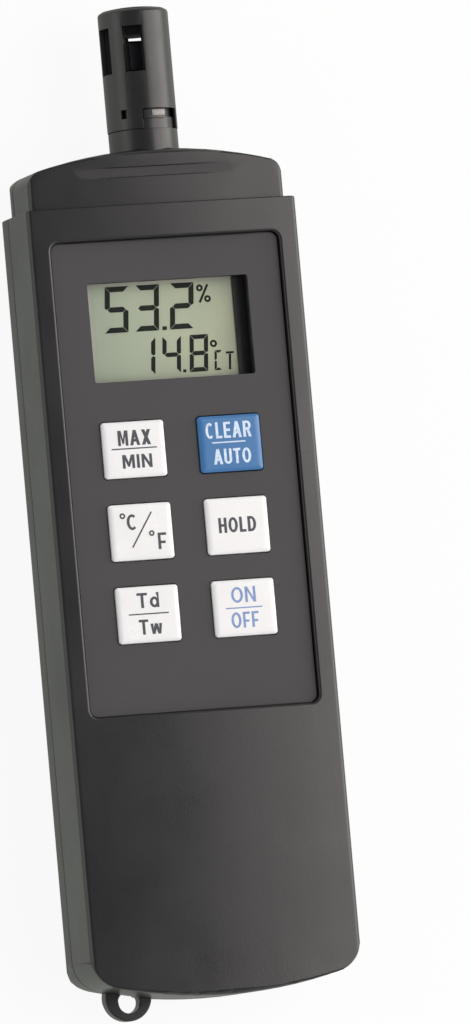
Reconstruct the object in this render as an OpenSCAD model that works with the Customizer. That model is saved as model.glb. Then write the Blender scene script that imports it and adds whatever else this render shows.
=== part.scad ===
// Hand-held thermo-hygrometer with a vented sensor probe, a display, six keys and a folding rear stand.
// The instrument lies on its back: X across the body, Y towards the probe tip, Z out of the face.
// Lengths along Y are counted from the bottom end of the body and then moved so that the whole part is centred.

/* [Body] */
// Width of the main body
body_w = 52.4; // [50.5:0.1:56]
// Length of the main body from its bottom end to the shoulder
body_len = 147.9; // [145.6:0.1:157]
// Rise of the crowned front face at its centre line
crown_h = 1.1; // [0.8:0.1:1.5]
// Radius of the flat arc at the bottom end and at the head's end
end_r = 86; // [76:1:100]
// Corner radius of the outline at the bottom end
corner_r = 6.2; // [5:0.1:7]
// Radius along the front edges
front_edge_r = 1.2; // [0.8:0.1:1.6]
// Radius along the rear edges
rear_edge_r = 4; // [3:0.1:4.6]
// Wall thickness of both shells
wall = 1.8; // [1.6:0.1:2.1]
// Height of the parting line above the rear face
parting_z = 7.5; // [6.8:0.1:8.2]

/* [Head] */
// Width of the head
head_w = 49.6; // [47:0.1:50.2]
// Length of the head from the shoulder to the top of its arc
head_len = 10.5; // [9.5:0.1:13]
// How far the head's front lies below the main front
head_drop = 2.5; // [1.8:0.1:3]
// Corner radius of the head's outline
head_corner_r = 3.2; // [2.4:0.1:4.5]
// Radius along the rear edges of the head
head_rear_r = 6.4; // [4:0.1:6.6]
// Length of the shallow groove across the head
groove_len = 36.5; // [28:0.5:38]
// Width of the shallow groove across the head
groove_w = 1.7; // [1.2:0.1:2.4]
// Depth of the groove below the crowned head
groove_depth = 0.35; // [0.2:0.05:0.6]

/* [Face panel] */
// Width of the flat face panel
panel_w = 44.1; // [42:0.1:45]
// Length of the flat face panel
panel_len = 88.2; // [86:0.1:90]
// Thickness of the face panel
panel_t = 0.8; // [0.6:0.1:1]
// Distance from the shoulder to the panel
panel_margin = 6.6; // [6:0.1:7.4]
// How far the panel's face lies below the front edges
panel_drop = 0.7; // [0.4:0.1:1]
// Corner radius of the panel
panel_corner_r = 1.5; // [1:0.1:2.5]
// Thickness of the deck under the panel
deck_t = 1.4; // [1.2:0.1:1.7]
// Gap around the panel and around each key
fit_gap = 0.2; // [0.15:0.05:0.3]

/* [Display] */
// Width of the display opening
window_w = 31.2; // [28:0.1:32]
// Height of the display opening
window_h = 18.6; // [16:0.1:20]
// Distance from the panel's upper edge to the middle of the display opening
window_drop = 16.9; // [16:0.1:18.5]
// Thickness of the clear window
lens_t = 0.7; // [0.5:0.1:0.9]
// Thickness of the display cell
lcd_t = 2.7; // [2.4:0.1:3]
// Ledge of the display cell outside the opening, on each side
lcd_ledge = 2.6; // [2.3:0.1:3]
// Height of the conductive rubber strips
strip_h = 1.3; // [1.1:0.1:1.8]
// Width of the black lip beside the display on its right
lip_right = 2.2; // [1.6:0.1:2.8]

/* [Keys] */
// Width of a key
key_w = 12.1; // [11:0.1:13]
// Height of a key
key_h = 10.5; // [9.5:0.1:11.4]
// Corner radius of a key
key_corner_r = 0.6; // [0.4:0.1:1.2]
// Distance between the two columns
key_pitch_x = 18.7; // [18:0.1:19.6]
// Distance between the rows
key_pitch_y = 15.4; // [15:0.1:15.6]
// Distance from the panel's lower edge to the middle of the lowest row
key_row_y = 18.4; // [17.8:0.1:19]
// How far a key stands above the panel
key_proud = 0.7; // [0.5:0.1:1]
// Travel of a key
key_travel = 0.8; // [0.5:0.1:1]

/* [Probe] */
// Outer diameter of the vent sleeve
sleeve_d = 13.2; // [12.8:0.1:13.4]
// Length of the probe from the head's arc to its tip
probe_len = 27.3; // [26.4:0.1:30]
// Wall thickness of the vent sleeve
sleeve_wall = 1; // [0.8:0.1:1.1]
// Wall thickness of the fixed tube inside the sleeve
tube_wall = 1; // [0.8:0.1:1.1]
// Running gap between the sleeve and the fixed tube
sleeve_gap = 0.08; // [0.06:0.01:0.09]
// Length of the fixed neck below the sleeve
neck_len = 3.8; // [3:0.1:4.6]
// Height of the vent windows
vent_h = 8.6; // [7:0.1:9]
// Angle that a vent window takes
vent_angle = 34; // [26:1:36]
// Angle between two neighbouring vent windows
vent_pitch = 60; // [56:1:62]
// Turn of the sleeve from open to nearly closed
sleeve_turn = 31; // [26:1:33]

/* [Battery] */
// Width of the block battery
battery_w = 26.2; // [25.5:0.1:26.8]
// Length of the battery's can
battery_len = 46.4; // [45.5:0.1:46.8]
// Thickness of the battery
battery_t = 16.4; // [15.8:0.1:17.4]
// Free space beside the battery
battery_gap = 0.3; // [0.2:0.05:0.4]
// Thickness of the foam strip pressed between the battery and the front wall
foam_t = 1.35; // [1:0.05:1.6]

/* [Stand] */
// Width of the stand
stand_w = 34; // [30:0.5:35]
// Length of the stand from its hinge axis to its free edge
stand_len = 47; // [42:0.5:50]
// Thickness of the stand's plate
stand_t = 2.2; // [2:0.1:2.4]
// Width of the rails beside the stand's window
stand_rail = 4; // [3.4:0.1:5]
// Length of the window in the stand
stand_window_len = 27; // [22:0.5:29]
// Radius of the hinge trunnions
trunnion_r = 1; // [0.8:0.05:1.1]
// Radial clearance of the trunnions in the rear shell
trunnion_gap = 0.06; // [0.04:0.01:0.1]

/* [Strap lug] */
// Outer radius of the strap lug
lug_r = 4.5; // [4.2:0.1:5.2]
// Radius of the strap hole
strap_hole_r = 2.05; // [1.8:0.05:2.2]
// Thickness of the strap lug
lug_t = 3; // [2.4:0.1:3.4]
// Distance of the strap lug from the centre line
lug_x = 15.7; // [14:0.1:17]

/* [Hidden] */
$fn = 64;
// Segments of the small circles along the body's edges
edge_fn = 32;

// Small steps used by the cuts and seats
eps = 0.01;
over = 1;
seat = 0.1;
// The corner circles run this much past the sides, so that they cross them cleanly
corner_slack = 0.02;

// Radius of an arc that rises by h across a width w
function arc_radius(w, h) = (pow(w / 2, 2) + pow(h, 2)) / (2 * h);

// Door, battery and foam stack up to the front wall and so set the thickness of the body
door_z = 0.15;
door_top = door_z + wall;
battery_z = door_top + seat;
foam_z = battery_z + battery_t;
foam_w = 16;
front_r = arc_radius(body_w, crown_h);
foam_drop = front_r - sqrt(pow(front_r, 2) - pow(foam_w / 2, 2));
body_top = foam_z + foam_t + seat + foam_drop + wall;
body_t = body_top - crown_h;
head_top = body_top - head_drop;
head_crown = crown_h * pow(head_w / body_w, 2);
head_end = body_len + head_len;

// Levels below the front edges
panel_z = body_t - panel_drop;
recess_z = panel_z - panel_t;
deck_z = recess_z - deck_t;
lens_z = deck_z - seat - lens_t;
lip_t = 0.35;
lip_z = lens_z - 0.05 - lip_t;
lcd_z = lip_z - 0.05 - lcd_t;
strip_z = lcd_z - 0.03 - strip_h;
board_t = 1.6;
board_top = strip_z - 0.02;
board_z = board_top - board_t;

// Places along Y
panel_y1 = body_len - panel_margin;
panel_y0 = panel_y1 - panel_len;
window_y = panel_y1 - window_drop;
probe_tip = head_end + probe_len;
lug_y = 1.25;
strap_hole_y = lug_y - 0.95;
middle_y = (probe_tip + lug_y - lug_r) / 2;

// Display parts
lcd_w = window_w + 2 * lcd_ledge;
lcd_h = window_h + 2 * lcd_ledge;
frame_wall = 1.1;
pocket_gap = 0.1;
frame_w = lcd_w + 2 * (pocket_gap + frame_wall);
frame_h = lcd_h + 2 * (pocket_gap + frame_wall);
strip_w = 1.8;

// Keys
key_top = panel_z + key_proud;
flange_rim = 1;
flange_t = 0.9;
flange_z = deck_z - seat - flange_t;
stem_w = 5;
stem_z = flange_z - 0.7;
dome_top = stem_z - key_travel - seat;
dome_r = 3.8;
mat_t = 0.8;
mat_margin = 1.6;
key_rows = [for (i = [2:-1:0]) panel_y0 + key_row_y + i * key_pitch_y];
mat_w = key_pitch_x + key_w + 2 * mat_margin;
mat_y0 = key_rows[2] - key_h / 2 - mat_margin;
mat_y1 = key_rows[0] + key_h / 2 + mat_margin;

// Probe, turned about a line at the level of the main board's upper face
probe_z = board_top;
sleeve_r = sleeve_d / 2;
bore_r = sleeve_r - sleeve_wall;
tube_r = bore_r - sleeve_gap;
chamber_r = tube_r - tube_wall;
neck_r = sleeve_r - 0.1;
collar_r = neck_r - 0.5;
collar_h = 2.2;
skirt_r = collar_r + sleeve_gap;
shank_r = tube_r - 0.5;
shank_bore_r = shank_r - tube_wall - 0.1;
sleeve_y0 = head_end + neck_len + 0.1;
stop_y0 = head_end + neck_len + collar_h;
stop_h = 1.4;
skirt_y1 = stop_y0 + stop_h + 0.2;
cap_t = 1.6;
tube_end = probe_tip - cap_t - 0.2;
cap_rise = 0.75;
cap_edge_r = 0.7;
vent_y1 = probe_tip - 4;
vent_y0 = vent_y1 - vent_h;
vent_first = -80;
vent_sides = [0, 180];
plug_y = vent_y1 - 1.35;
stop_a0 = -13;
stop_a1 = 27;
mark_a0 = 2;
mark_a1 = 26;
stop_slack = 0.8;
dot_a0 = -51;
dot_a1 = -40;
tube_flange_r = shank_r + 1.4;
tube_flange_t = 1.7;
head_inner = head_end - wall;

// Sensor board on the main board's upper face, running into the probe
sensor_board_t = 1;
sensor_z = board_top + seat;
sensor_half_w = sqrt(pow(shank_bore_r - 0.2, 2) - pow(seat + sensor_board_t, 2));
sensor_inset = 8.3;
sensor_y0 = body_len - sensor_inset;
sensor_y1 = plug_y - 1.05;
header_y = sensor_y0 + 2.4;
header_pitch = 1.27;
header_pin_r = 0.3;
pin_gap = 0.06;

// Battery compartment, door and snap connector
cell_y0 = wall + 1.4;
cell_y1 = cell_y0 + battery_len;
cell_z = battery_z + battery_t / 2;
bay_w = battery_w + 2 * battery_gap + 0.8;
bay_wall = 1.8;
bay_top = deck_z - 0.5;
bay_inner_y = wall + 1.8;
terminal_pitch = 12.7;
terminal_h = 2.6;
stud_r = 2.85;
socket_r = 3.8;
snap_t = 2.4;
snap_inset = 0.4;
snap_w = battery_w - 2 * snap_inset;
snap_h = 12;
snap_y = cell_y1 + terminal_h + 0.1;
bay_y1 = snap_y + snap_t + 1.4;
door_y1 = bay_y1 - 0.4;
door_gap = 0.1;
door_w = bay_w - 2 * door_gap;
tongue = 0.8;
tongue_z = door_z + 0.85;
grip_w = 12;
grip_groove = 0.8;
grip_depth = 0.5;
lead_r = 0.65;
lead_x = 5;
lead_y1 = bay_y1 + 7.5;
lead_z = board_z - 2.2;

// Main board
board_w = body_w - 2 * wall - 3.2;
board_y0 = bay_y1 + 2.4;
board_y1 = body_len - 2.8;
board_post_r = 2.1;
board_hole_r = 1.1;
board_screw_r = 1;
board_post_x = board_w / 2 - board_post_r;
board_posts = [[-board_post_x, board_y0 + 3.2], [board_post_x, board_y0 + 3.2],
               [-board_post_x, window_y - frame_h / 2 - 3.4], [board_post_x, window_y - frame_h / 2 - 3.4],
               [-12.5, board_y1 - 2.6], [12.5, board_y1 - 2.6]];
board_screw_len = 4.6;

// Case screws
post_r = 3;
boss_r = 3.5;
case_screw_r = 1.3;
screw_fit = 0.05;
screw_hole_r = 1.5;
counterbore_r = 2.7;
counterbore_z = 3.6;
case_screw_len = 9.5;
post_x = body_w / 2 - wall - boss_r + 0.1;
case_posts = [[-post_x, 12], [post_x, 12], [-post_x, body_len - 3.9], [post_x, body_len - 3.9]];
board_notch_r = post_r + 0.6;

// Lip that keys the two shells together
lip_height = 1.6;
lip_root = 1.2;
lip_wall = 0.9;
lip_gap = 0.1;

// Stand and its recess in the rear shell
barrel_r = 1.5;
barrel_gap = 0.25;
hinge_z = barrel_r + 0.3;
hinge_inset = 8.4;
hinge_y = body_len - hinge_inset;
stand_open = 105;
stand_gap = 0.3;
stand_z = hinge_z - stand_t / 2;
stand_end_y = hinge_y - stand_len;
stand_bar = 5;
stand_tab_w = 8;
stand_tab_h = 2;
trunnion_len = 1.4;
pocket_w = stand_w + 2 * stand_gap;
pocket_z = stand_z + stand_t + 0.3;
pocket_roof = 1.5;
pocket_y1 = hinge_y + stand_t / 2 / cos(stand_open - 90) + hinge_z * tan(stand_open - 90) + 0.2;
scoop_w = 12;
scoop_len = 2.6;

module place() {
  translate([0, -middle_y, 0]) children();
}

// Rectangle with rounded corners, centred
module round_rect(w, h, r) {
  square([w - 2 * r, h], center = true);
  square([w, h - 2 * r], center = true);
  for (x = [-1, 1], y = [-1, 1]) translate([x * (w / 2 - r), y * (h / 2 - r)]) circle(r);
}

// Round-ended slot lying along X, centred
module slot(len, w) {
  square([len - w, w], center = true);
  for (x = [-1, 1]) translate([x * (len - w) / 2, 0]) circle(w / 2);
}

// Two corner pieces to take away where an arc of radius r meets the sides of a strip of width w
module corner_trim(w, r, fillet) {
  cx = w / 2 - fillet;
  cy = r - sqrt(pow(r - fillet, 2) - pow(cx, 2));
  tangent = [cx * r / (r - fillet), r - (r - cy) * r / (r - fillet)];
  beyond = tangent + (tangent - [cx, cy]) / fillet;
  for (s = [-1, 1]) difference() {
    polygon([[s * cx, cy], [s * (w / 2 + over), cy], [s * (w / 2 + over), -over], [s * beyond[0], beyond[1]]]);
    translate([s * cx, cy]) circle(fillet + corner_slack, $fn = edge_fn);
  }
}

// Cross-section across the body: crowned front, round front edges and larger rear edges, drawn with Z as Y
module cross_section(w, top, crown, rear_r, inset) {
  inner_w = w - 2 * inset;
  crown_r = arc_radius(w, crown) - inset;
  rear = max(rear_r - inset, 0.6);
  difference() {
    intersection() {
      translate([0, top - inset - crown_r]) circle(crown_r, $fn = 180);
      translate([-inner_w / 2, inset]) square([inner_w, top]);
    }
    translate([0, top - inset]) mirror([0, 1]) corner_trim(inner_w, crown_r, max(front_edge_r - inset, 0.3));
    for (s = [-1, 1]) difference() {
      translate([s > 0 ? inner_w / 2 - rear : -inner_w / 2 - over, inset - over]) square(rear + over);
      translate([s * (inner_w / 2 - rear), inset + rear]) circle(rear, $fn = edge_fn);
    }
  }
}

// Round disc whose rim gives an end of the body its arc and its rounded edges
module end_disc(top, rear_r, inset) {
  r = end_r - inset;
  front = max(front_edge_r - inset, 0.3);
  rear = max(rear_r - inset, 0.6);
  rotate_extrude($fn = 180) difference() {
    translate([0, inset]) square([r, top - 2 * inset]);
    difference() {
      translate([r - front, top - inset - front]) square(front + over);
      translate([r - front, top - inset - front]) circle(front, $fn = edge_fn);
    }
    difference() {
      translate([r - rear, inset - over]) square(rear + over);
      translate([r - rear, inset + rear]) circle(rear, $fn = edge_fn);
    }
  }
}

// Strip of the plan with rounded corners where it meets the end arc
module strip(w, len, fillet, inset) {
  difference() {
    translate([-w / 2 + inset, 0]) square([w - 2 * inset, len]);
    translate([0, inset]) corner_trim(w - 2 * inset, end_r - inset, max(fillet - inset, 0.6));
  }
}

// Plan of the body and its head at the level of the parting line
module plan(inset) {
  intersection() {
    strip(body_w, body_len - inset, corner_r, inset);
    translate([0, end_r]) circle(end_r - inset, $fn = 180);
  }
  translate([0, head_end]) mirror([0, 1]) intersection() {
    strip(head_w, head_len + 3 * wall, head_corner_r, inset);
    translate([0, end_r]) circle(end_r - inset, $fn = 180);
  }
}

// One stretch of the body that ends at y = 0 in an arc: strip, cross-section and end disc in common
module stretch(w, len, top, crown, fillet, rear_r, inset) {
  intersection() {
    linear_extrude(body_top + over) strip(w, len, fillet, inset);
    translate([0, len + over, 0]) rotate([90, 0, 0]) linear_extrude(len + 2 * over)
      cross_section(w, top, crown, rear_r, inset);
    translate([0, end_r, 0]) end_disc(top, rear_r, inset);
  }
}

// Outer form of the body and its head, or its inside when inset by the wall
module envelope(inset) {
  stretch(body_w, body_len - inset, body_top, crown_h, corner_r, rear_edge_r, inset);
  translate([0, head_end, 0]) mirror([0, 1, 0])
    stretch(head_w, head_len + 3 * wall, head_top, head_crown, head_corner_r, head_rear_r, inset);
}

// Box from one corner to the other
module block(low, high) {
  translate(low) cube(high - low);
}

// Cylinder along Y
module bar_y(r, y0, y1, x = 0, z = 0) {
  translate([x, y0, z]) rotate([-90, 0, 0]) cylinder(r = r, h = y1 - y0);
}

// Cylinder along Z
module bar_z(r, z0, z1, x = 0, y = 0) {
  translate([x, y, z0]) cylinder(r = r, h = z1 - z0);
}

// Ring sector about the probe's axis from angle a0 to a1, counted from the face towards the right
module sector(r0, r1, y0, y1, a0, a1) {
  translate([0, y1, probe_z]) rotate([90, 0, 0]) linear_extrude(y1 - y0) intersection() {
    difference() {
      circle(r1);
      circle(r0);
    }
    polygon(concat([[0, 0]], [for (i = [0:4]) let (a = a0 + (a1 - a0) * i / 4) 2 * r1 * [sin(a), cos(a)]]));
  }
}

module key_openings(z0, z1) {
  for (x = [-1, 1], y = key_rows) translate([x * key_pitch_x / 2, y, z0])
    linear_extrude(z1 - z0) round_rect(key_w + 2 * fit_gap, key_h + 2 * fit_gap, key_corner_r + fit_gap);
}

module display_opening(z0, z1) {
  translate([0, window_y, z0]) linear_extrude(z1 - z0) round_rect(window_w, window_h, 0.4);
}

module panel_outline(gap) {
  translate([0, (panel_y0 + panel_y1) / 2]) round_rect(panel_w + 2 * gap, panel_len + 2 * gap, panel_corner_r + gap);
}

// Hole for the probe tube through the end wall of the head
module probe_hole() {
  bar_y(shank_r + screw_fit, head_inner - tube_flange_t - 0.3, head_end + over, 0, probe_z);
}

module front_shell() color("#434344") place() {
  difference() {
    union() {
      difference() {
        envelope(0);
        envelope(wall);
      }
      intersection() {
        envelope(0.3);
        translate([0, 0, deck_z]) linear_extrude(body_top) panel_outline(wall);
      }
      intersection() {
        envelope(wall / 2);
        for (p = case_posts) bar_z(post_r, parting_z + seat, body_top, p[0], p[1]);
      }
      for (p = board_posts) bar_z(board_post_r, board_top, deck_z + 0.5, p[0], p[1]);
    }
    block([-body_w, -over, -over], [body_w, head_end + over, parting_z]);
    translate([0, 0, recess_z]) linear_extrude(body_top) panel_outline(fit_gap);
    display_opening(deck_z - over, body_top);
    key_openings(deck_z - over, body_top);
    probe_hole();
    translate([0, head_end - 4.2, head_top - groove_depth]) linear_extrude(over + 2) slot(groove_len, groove_w);
    for (p = case_posts) bar_z(case_screw_r + screw_fit, 0, counterbore_z + case_screw_len + 0.5, p[0], p[1]);
    for (p = board_posts) bar_z(board_screw_r + screw_fit, 0, board_z + board_screw_len + 0.3, p[0], p[1]);
  }
}

// Lip on the rear shell that stands inside the front shell
module lip() {
  difference() {
    union() {
      translate([0, 0, parting_z - lip_root]) linear_extrude(lip_root - lip_gap) plan(wall / 2);
      translate([0, 0, parting_z - lip_root]) linear_extrude(lip_root + lip_height) plan(wall + lip_gap);
    }
    translate([0, 0, parting_z - lip_root - over]) linear_extrude(lip_root + lip_height + 2 * over)
      plan(wall + lip_gap + lip_wall);
    for (p = case_posts) bar_z(post_r + lip_gap, parting_z - 2 * lip_gap, body_top, p[0], p[1]);
    bar_y(tube_flange_r + 2 * lip_gap, head_inner - 4, head_inner + over, 0, probe_z);
  }
}

module rear_shell() color("#434344") place() {
  difference() {
    union() {
      difference() {
        envelope(0);
        envelope(wall);
        block([-body_w, -over, parting_z], [body_w, head_end + over, body_top + over]);
      }
      lip();
      intersection() {
        envelope(wall / 2);
        union() {
          for (p = case_posts) bar_z(boss_r, 0, parting_z, p[0], p[1]);
          // Solid round the stand's recess
          block([-pocket_w / 2 - 1.9, stand_end_y - stand_gap - scoop_len - 1.6, 0],
                [pocket_w / 2 + 1.9, pocket_y1 + 1.6, pocket_z + pocket_roof]);
          // Walls of the battery compartment, lower at the end wall to let the front shell pass
          block([-bay_w / 2 - bay_wall, wall / 2, 0], [bay_w / 2 + bay_wall, bay_y1, parting_z - lip_gap]);
          block([-bay_w / 2 - bay_wall, bay_inner_y, 0], [bay_w / 2 + bay_wall, bay_y1 + 1.4, bay_top]);
        }
      }
      // Strap lug, rooted in the end wall
      difference() {
        bar_z(lug_r, parting_z - 0.4 - lug_t, parting_z - 0.4, -lug_x, lug_y);
        envelope(wall / 2);
      }
    }
    bar_z(strap_hole_r, 0, parting_z, -lug_x, strap_hole_y);
    // Space for the battery, and the door opening with a groove on each side for the door's tongues
    block([-bay_w / 2, cell_y0 - battery_gap / 2, door_top], [bay_w / 2, bay_y1, bay_top + over]);
    block([-bay_w / 2, -over, -over], [bay_w / 2, door_y1 + door_gap, door_top + seat]);
    block([-bay_w / 2 - tongue, -over, tongue_z - seat], [bay_w / 2 + tongue, door_y1 + door_gap, door_top + seat]);
    // Slot for the battery leads
    block([-lead_x - 1.2, bay_y1 - over, lead_z - 1.2], [lead_x + 1.2, bay_y1 + 1.4 + over, bay_top + over]);
    // Recess of the stand, its hinge groove, bores and finger scoop
    translate([0, (stand_end_y - stand_gap + pocket_y1) / 2, -over]) linear_extrude(pocket_z + over)
      round_rect(pocket_w, pocket_y1 - stand_end_y + stand_gap, 0.8);
    translate([-stand_w / 2 - seat, hinge_y, hinge_z])
      rotate([0, 90, 0]) cylinder(r = barrel_r + barrel_gap, h = stand_w + 2 * seat);
    for (s = [-1, 1]) translate([s > 0 ? pocket_w / 2 - eps : -pocket_w / 2 + eps, hinge_y, hinge_z])
      rotate([0, s * 90, 0]) cylinder(r = trunnion_r + trunnion_gap, h = trunnion_len + 0.2);
    translate([0, stand_end_y - stand_gap, -over]) linear_extrude(over + pocket_z - 1)
      round_rect(scoop_w, 2 * scoop_len, 1.2);
    for (p = case_posts) {
      bar_z(counterbore_r, -over, counterbore_z, p[0], p[1]);
      bar_z(screw_hole_r, 0, parting_z + over, p[0], p[1]);
    }
    probe_hole();
  }
}

module face_panel() color("#4b4b4c") place() {
  difference() {
    translate([0, 0, recess_z]) linear_extrude(panel_t) panel_outline(0);
    display_opening(0, body_top);
    key_openings(0, body_top);
  }
}

module lcd_window() color("#dfe6e4", 0.3) place() {
  translate([0, window_y, lens_z]) linear_extrude(lens_t) square([lcd_w, lcd_h], center = true);
}

module lcd_frame() color("#1c1c1d") place() {
  lip_x0 = -window_w / 2 - 0.4;
  lip_x1 = window_w / 2 - lip_right;
  difference() {
    translate([0, window_y, board_top]) linear_extrude(deck_z - seat - board_top) square([frame_w, frame_h], center = true);
    translate([0, window_y, board_top - over]) linear_extrude(lip_z - board_top + over)
      square([lcd_w + 2 * pocket_gap, lcd_h + 2 * pocket_gap], center = true);
    translate([0, window_y, lip_z + lip_t]) linear_extrude(over + 2)
      square([lcd_w + 2 * pocket_gap, lcd_h + 2 * pocket_gap], center = true);
    block([lip_x0, window_y - window_h / 2 - 0.4, 0], [lip_x1, window_y + window_h / 2 + 0.4, body_top]);
  }
}

module lcd_cell() color("#a5ad92") place() {
  translate([0, window_y, lcd_z]) linear_extrude(lcd_t) square([lcd_w, lcd_h], center = true);
}

module contact_strips() color("#3a3a3a") place() {
  for (s = [-1, 1]) translate([0, window_y + s * (lcd_h / 2 - strip_w / 2 - 0.2), strip_z])
    linear_extrude(strip_h) square([lcd_w - 2, strip_w], center = true);
}

module main_board() color("#1f5b3a") place() {
  difference() {
    block([-board_w / 2, board_y0, board_z], [board_w / 2, board_y1, board_top]);
    for (p = case_posts) bar_z(board_notch_r, board_z - over, board_top + over, p[0], p[1]);
    for (p = board_posts) bar_z(board_hole_r, board_z - over, board_top + over, p[0], p[1]);
    for (i = [-1.5:1:1.5])
      bar_z(header_pin_r + pin_gap, board_z - over, board_top + over, i * header_pitch, header_y);
  }
}

chip_r = 6;
chip_h = 1.5;
chip_y = key_rows[1];

module controller_chip() color("#17181a") place() {
  translate([0, chip_y, board_z]) mirror([0, 0, 1]) rotate_extrude() intersection() {
    translate([0, chip_h - arc_radius(2 * chip_r, chip_h)]) circle(arc_radius(2 * chip_r, chip_h), $fn = 360);
    square([chip_r, chip_h + over]);
  }
}

crystal_r = 1;
crystal_len = 6;
crystal_x = 9;
crystal_y = chip_y + chip_r + 2;

module crystal() color("#b9bcc0") place() {
  bar_y(crystal_r, crystal_y, crystal_y + crystal_len, crystal_x, board_z - crystal_r - 0.05);
}

capacitor_r = 2.4;
capacitor_h = 5;
capacitor_x = 12;
capacitor_inset = 7;

module capacitors() color("#2b3550") place() {
  for (s = [-1, 1])
    bar_z(capacitor_r, board_z - capacitor_h, board_z, s * capacitor_x, board_y0 + capacitor_inset);
}

module keypad_mat() color("#8c8f92") place() {
  block([-mat_w / 2, mat_y0, board_top], [mat_w / 2, mat_y1, board_top + mat_t]);
  for (x = [-1, 1], y = key_rows) bar_z(dome_r, board_top + mat_t / 2, dome_top, x * key_pitch_x / 2, y);
}

// One key cap with the rim that holds it behind the deck and the stem over its dome
module key_cap(side, row) {
  translate([side * key_pitch_x / 2, key_rows[row], 0]) {
    translate([0, 0, flange_z]) linear_extrude(key_top - flange_z) round_rect(key_w, key_h, key_corner_r);
    translate([0, 0, flange_z]) linear_extrude(flange_t)
      square([key_w + 2 * flange_rim, key_h + 2 * flange_rim], center = true);
    translate([0, 0, stem_z]) linear_extrude(flange_z - stem_z + over / 2) square(stem_w, center = true);
  }
}

module key_max_min() color("#f2efeb") place() key_cap(-1, 0);
module key_clear_auto() color("#4577b5") place() key_cap(1, 0);
module key_unit() color("#f2efeb") place() key_cap(-1, 1);
module key_hold() color("#f2efeb") place() key_cap(1, 1);
module key_dew_wet() color("#f2efeb") place() key_cap(-1, 2);
module key_on_off() color("#f2efeb") place() key_cap(1, 2);

// Vent windows through a wall between r0 and r1, widened by a margin in millimetres and degrees
module vents(r0, r1, margin, turn_margin) {
  for (side = vent_sides, i = [0, 1]) {
    middle = side + vent_first + i * vent_pitch;
    sector(r0, r1, vent_y0 - margin, vent_y1 + margin,
           middle - vent_angle / 2 - turn_margin, middle + vent_angle / 2 + turn_margin);
  }
}

module probe_tube() color("#262627") place() {
  difference() {
    union() {
      bar_y(shank_r, head_inner - tube_flange_t - 0.05, head_end + over, 0, probe_z);
      intersection() {
        bar_y(tube_flange_r, head_inner - tube_flange_t, head_inner - 0.35, 0, probe_z);
        block([-2 * tube_flange_r, 0, wall + 0.3], [2 * tube_flange_r, head_end, head_top - wall - 0.6]);
      }
      difference() {
        bar_y(neck_r, head_end - 2, head_end + neck_len, 0, probe_z);
        envelope(0);
      }
      bar_y(collar_r, head_end + neck_len - 0.5, stop_y0, 0, probe_z);
      bar_y(tube_r, stop_y0 - 0.5, tube_end, 0, probe_z);
      sector(tube_r - 0.4, sleeve_r - 0.25, stop_y0 - 0.3, stop_y0 + stop_h, stop_a0, stop_a1);
      sector(tube_r - 0.3, sleeve_r - 0.05, stop_y0 + 0.2, stop_y0 + stop_h - 0.1, mark_a0, mark_a1);
    }
    bar_y(shank_bore_r, head_inner - tube_flange_t - 2, stop_y0 + 1, 0, probe_z);
    bar_y(chamber_r, stop_y0 + 0.5, plug_y, 0, probe_z);
    // The plug that closes the chamber stays whole behind the vent windows
    difference() {
      vents(chamber_r - 1.5, sleeve_r, 0.2, 1);
      bar_y(chamber_r - 0.3, plug_y - over, tube_end + over, 0, probe_z);
    }
  }
}

module vent_sleeve() color("#2c2c2d") place() {
  cap_r = arc_radius(sleeve_d, cap_rise);
  difference() {
    translate([0, sleeve_y0, probe_z]) rotate([-90, 0, 0]) rotate_extrude() difference() {
      intersection() {
        square([sleeve_r, probe_tip - sleeve_y0]);
        translate([0, probe_tip - sleeve_y0 - cap_r]) circle(cap_r, $fn = 180);
      }
      square([bore_r, probe_tip - cap_t - sleeve_y0]);
      square([skirt_r, skirt_y1 - sleeve_y0]);
      rim_y = probe_tip - sleeve_y0 - cap_rise - cap_edge_r;
      difference() {
        translate([sleeve_r - cap_edge_r, rim_y]) square(cap_edge_r + over);
        translate([sleeve_r - cap_edge_r, rim_y]) circle(cap_edge_r);
      }
    }
    vents(bore_r - 0.5, sleeve_r + 0.5, 0, 0);
    sector(bore_r - 0.5, sleeve_r + 0.5, sleeve_y0 - over, skirt_y1, stop_a0 - stop_slack, stop_a1 + sleeve_turn + stop_slack);
    sector(bore_r - 0.5, sleeve_r + 0.5, stop_y0, skirt_y1, dot_a0, dot_a1);
  }
}

module sensor_board() color("#15181a") place() {
  difference() {
    block([-sensor_half_w, sensor_y0, sensor_z], [sensor_half_w, sensor_y1, sensor_z + sensor_board_t]);
    for (i = [-1.5:1:1.5])
      bar_z(header_pin_r + pin_gap, sensor_z - over, sensor_z + sensor_board_t + over, i * header_pitch, header_y);
  }
}

module humidity_sensor() color("#8f9294") place() {
  block([-1.6, sensor_y1 - 5.6, sensor_z + sensor_board_t], [1.9, sensor_y1 - 0.5, sensor_z + sensor_board_t + 0.9]);
}

bead_inset = 8.2;
bead_r = 0.95;
bead_centre_z = 0.55;

module temperature_sensor() color("#2a1f1c") place() {
  translate([-0.2, sensor_y1 - bead_inset, sensor_z + sensor_board_t]) rotate_extrude() intersection() {
    translate([0, bead_centre_z]) circle(bead_r);
    square(2 * bead_r);
  }
}

module sensor_header() color("#1b1b1c") place() {
  top = sensor_z + sensor_board_t;
  block([-4, header_y - 1.2, top], [4, header_y + 1.2, top + 2.2]);
  for (i = [-1.5:1:1.5]) bar_z(header_pin_r, board_z - 1, top + 0.5, i * header_pitch, header_y);
}

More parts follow.
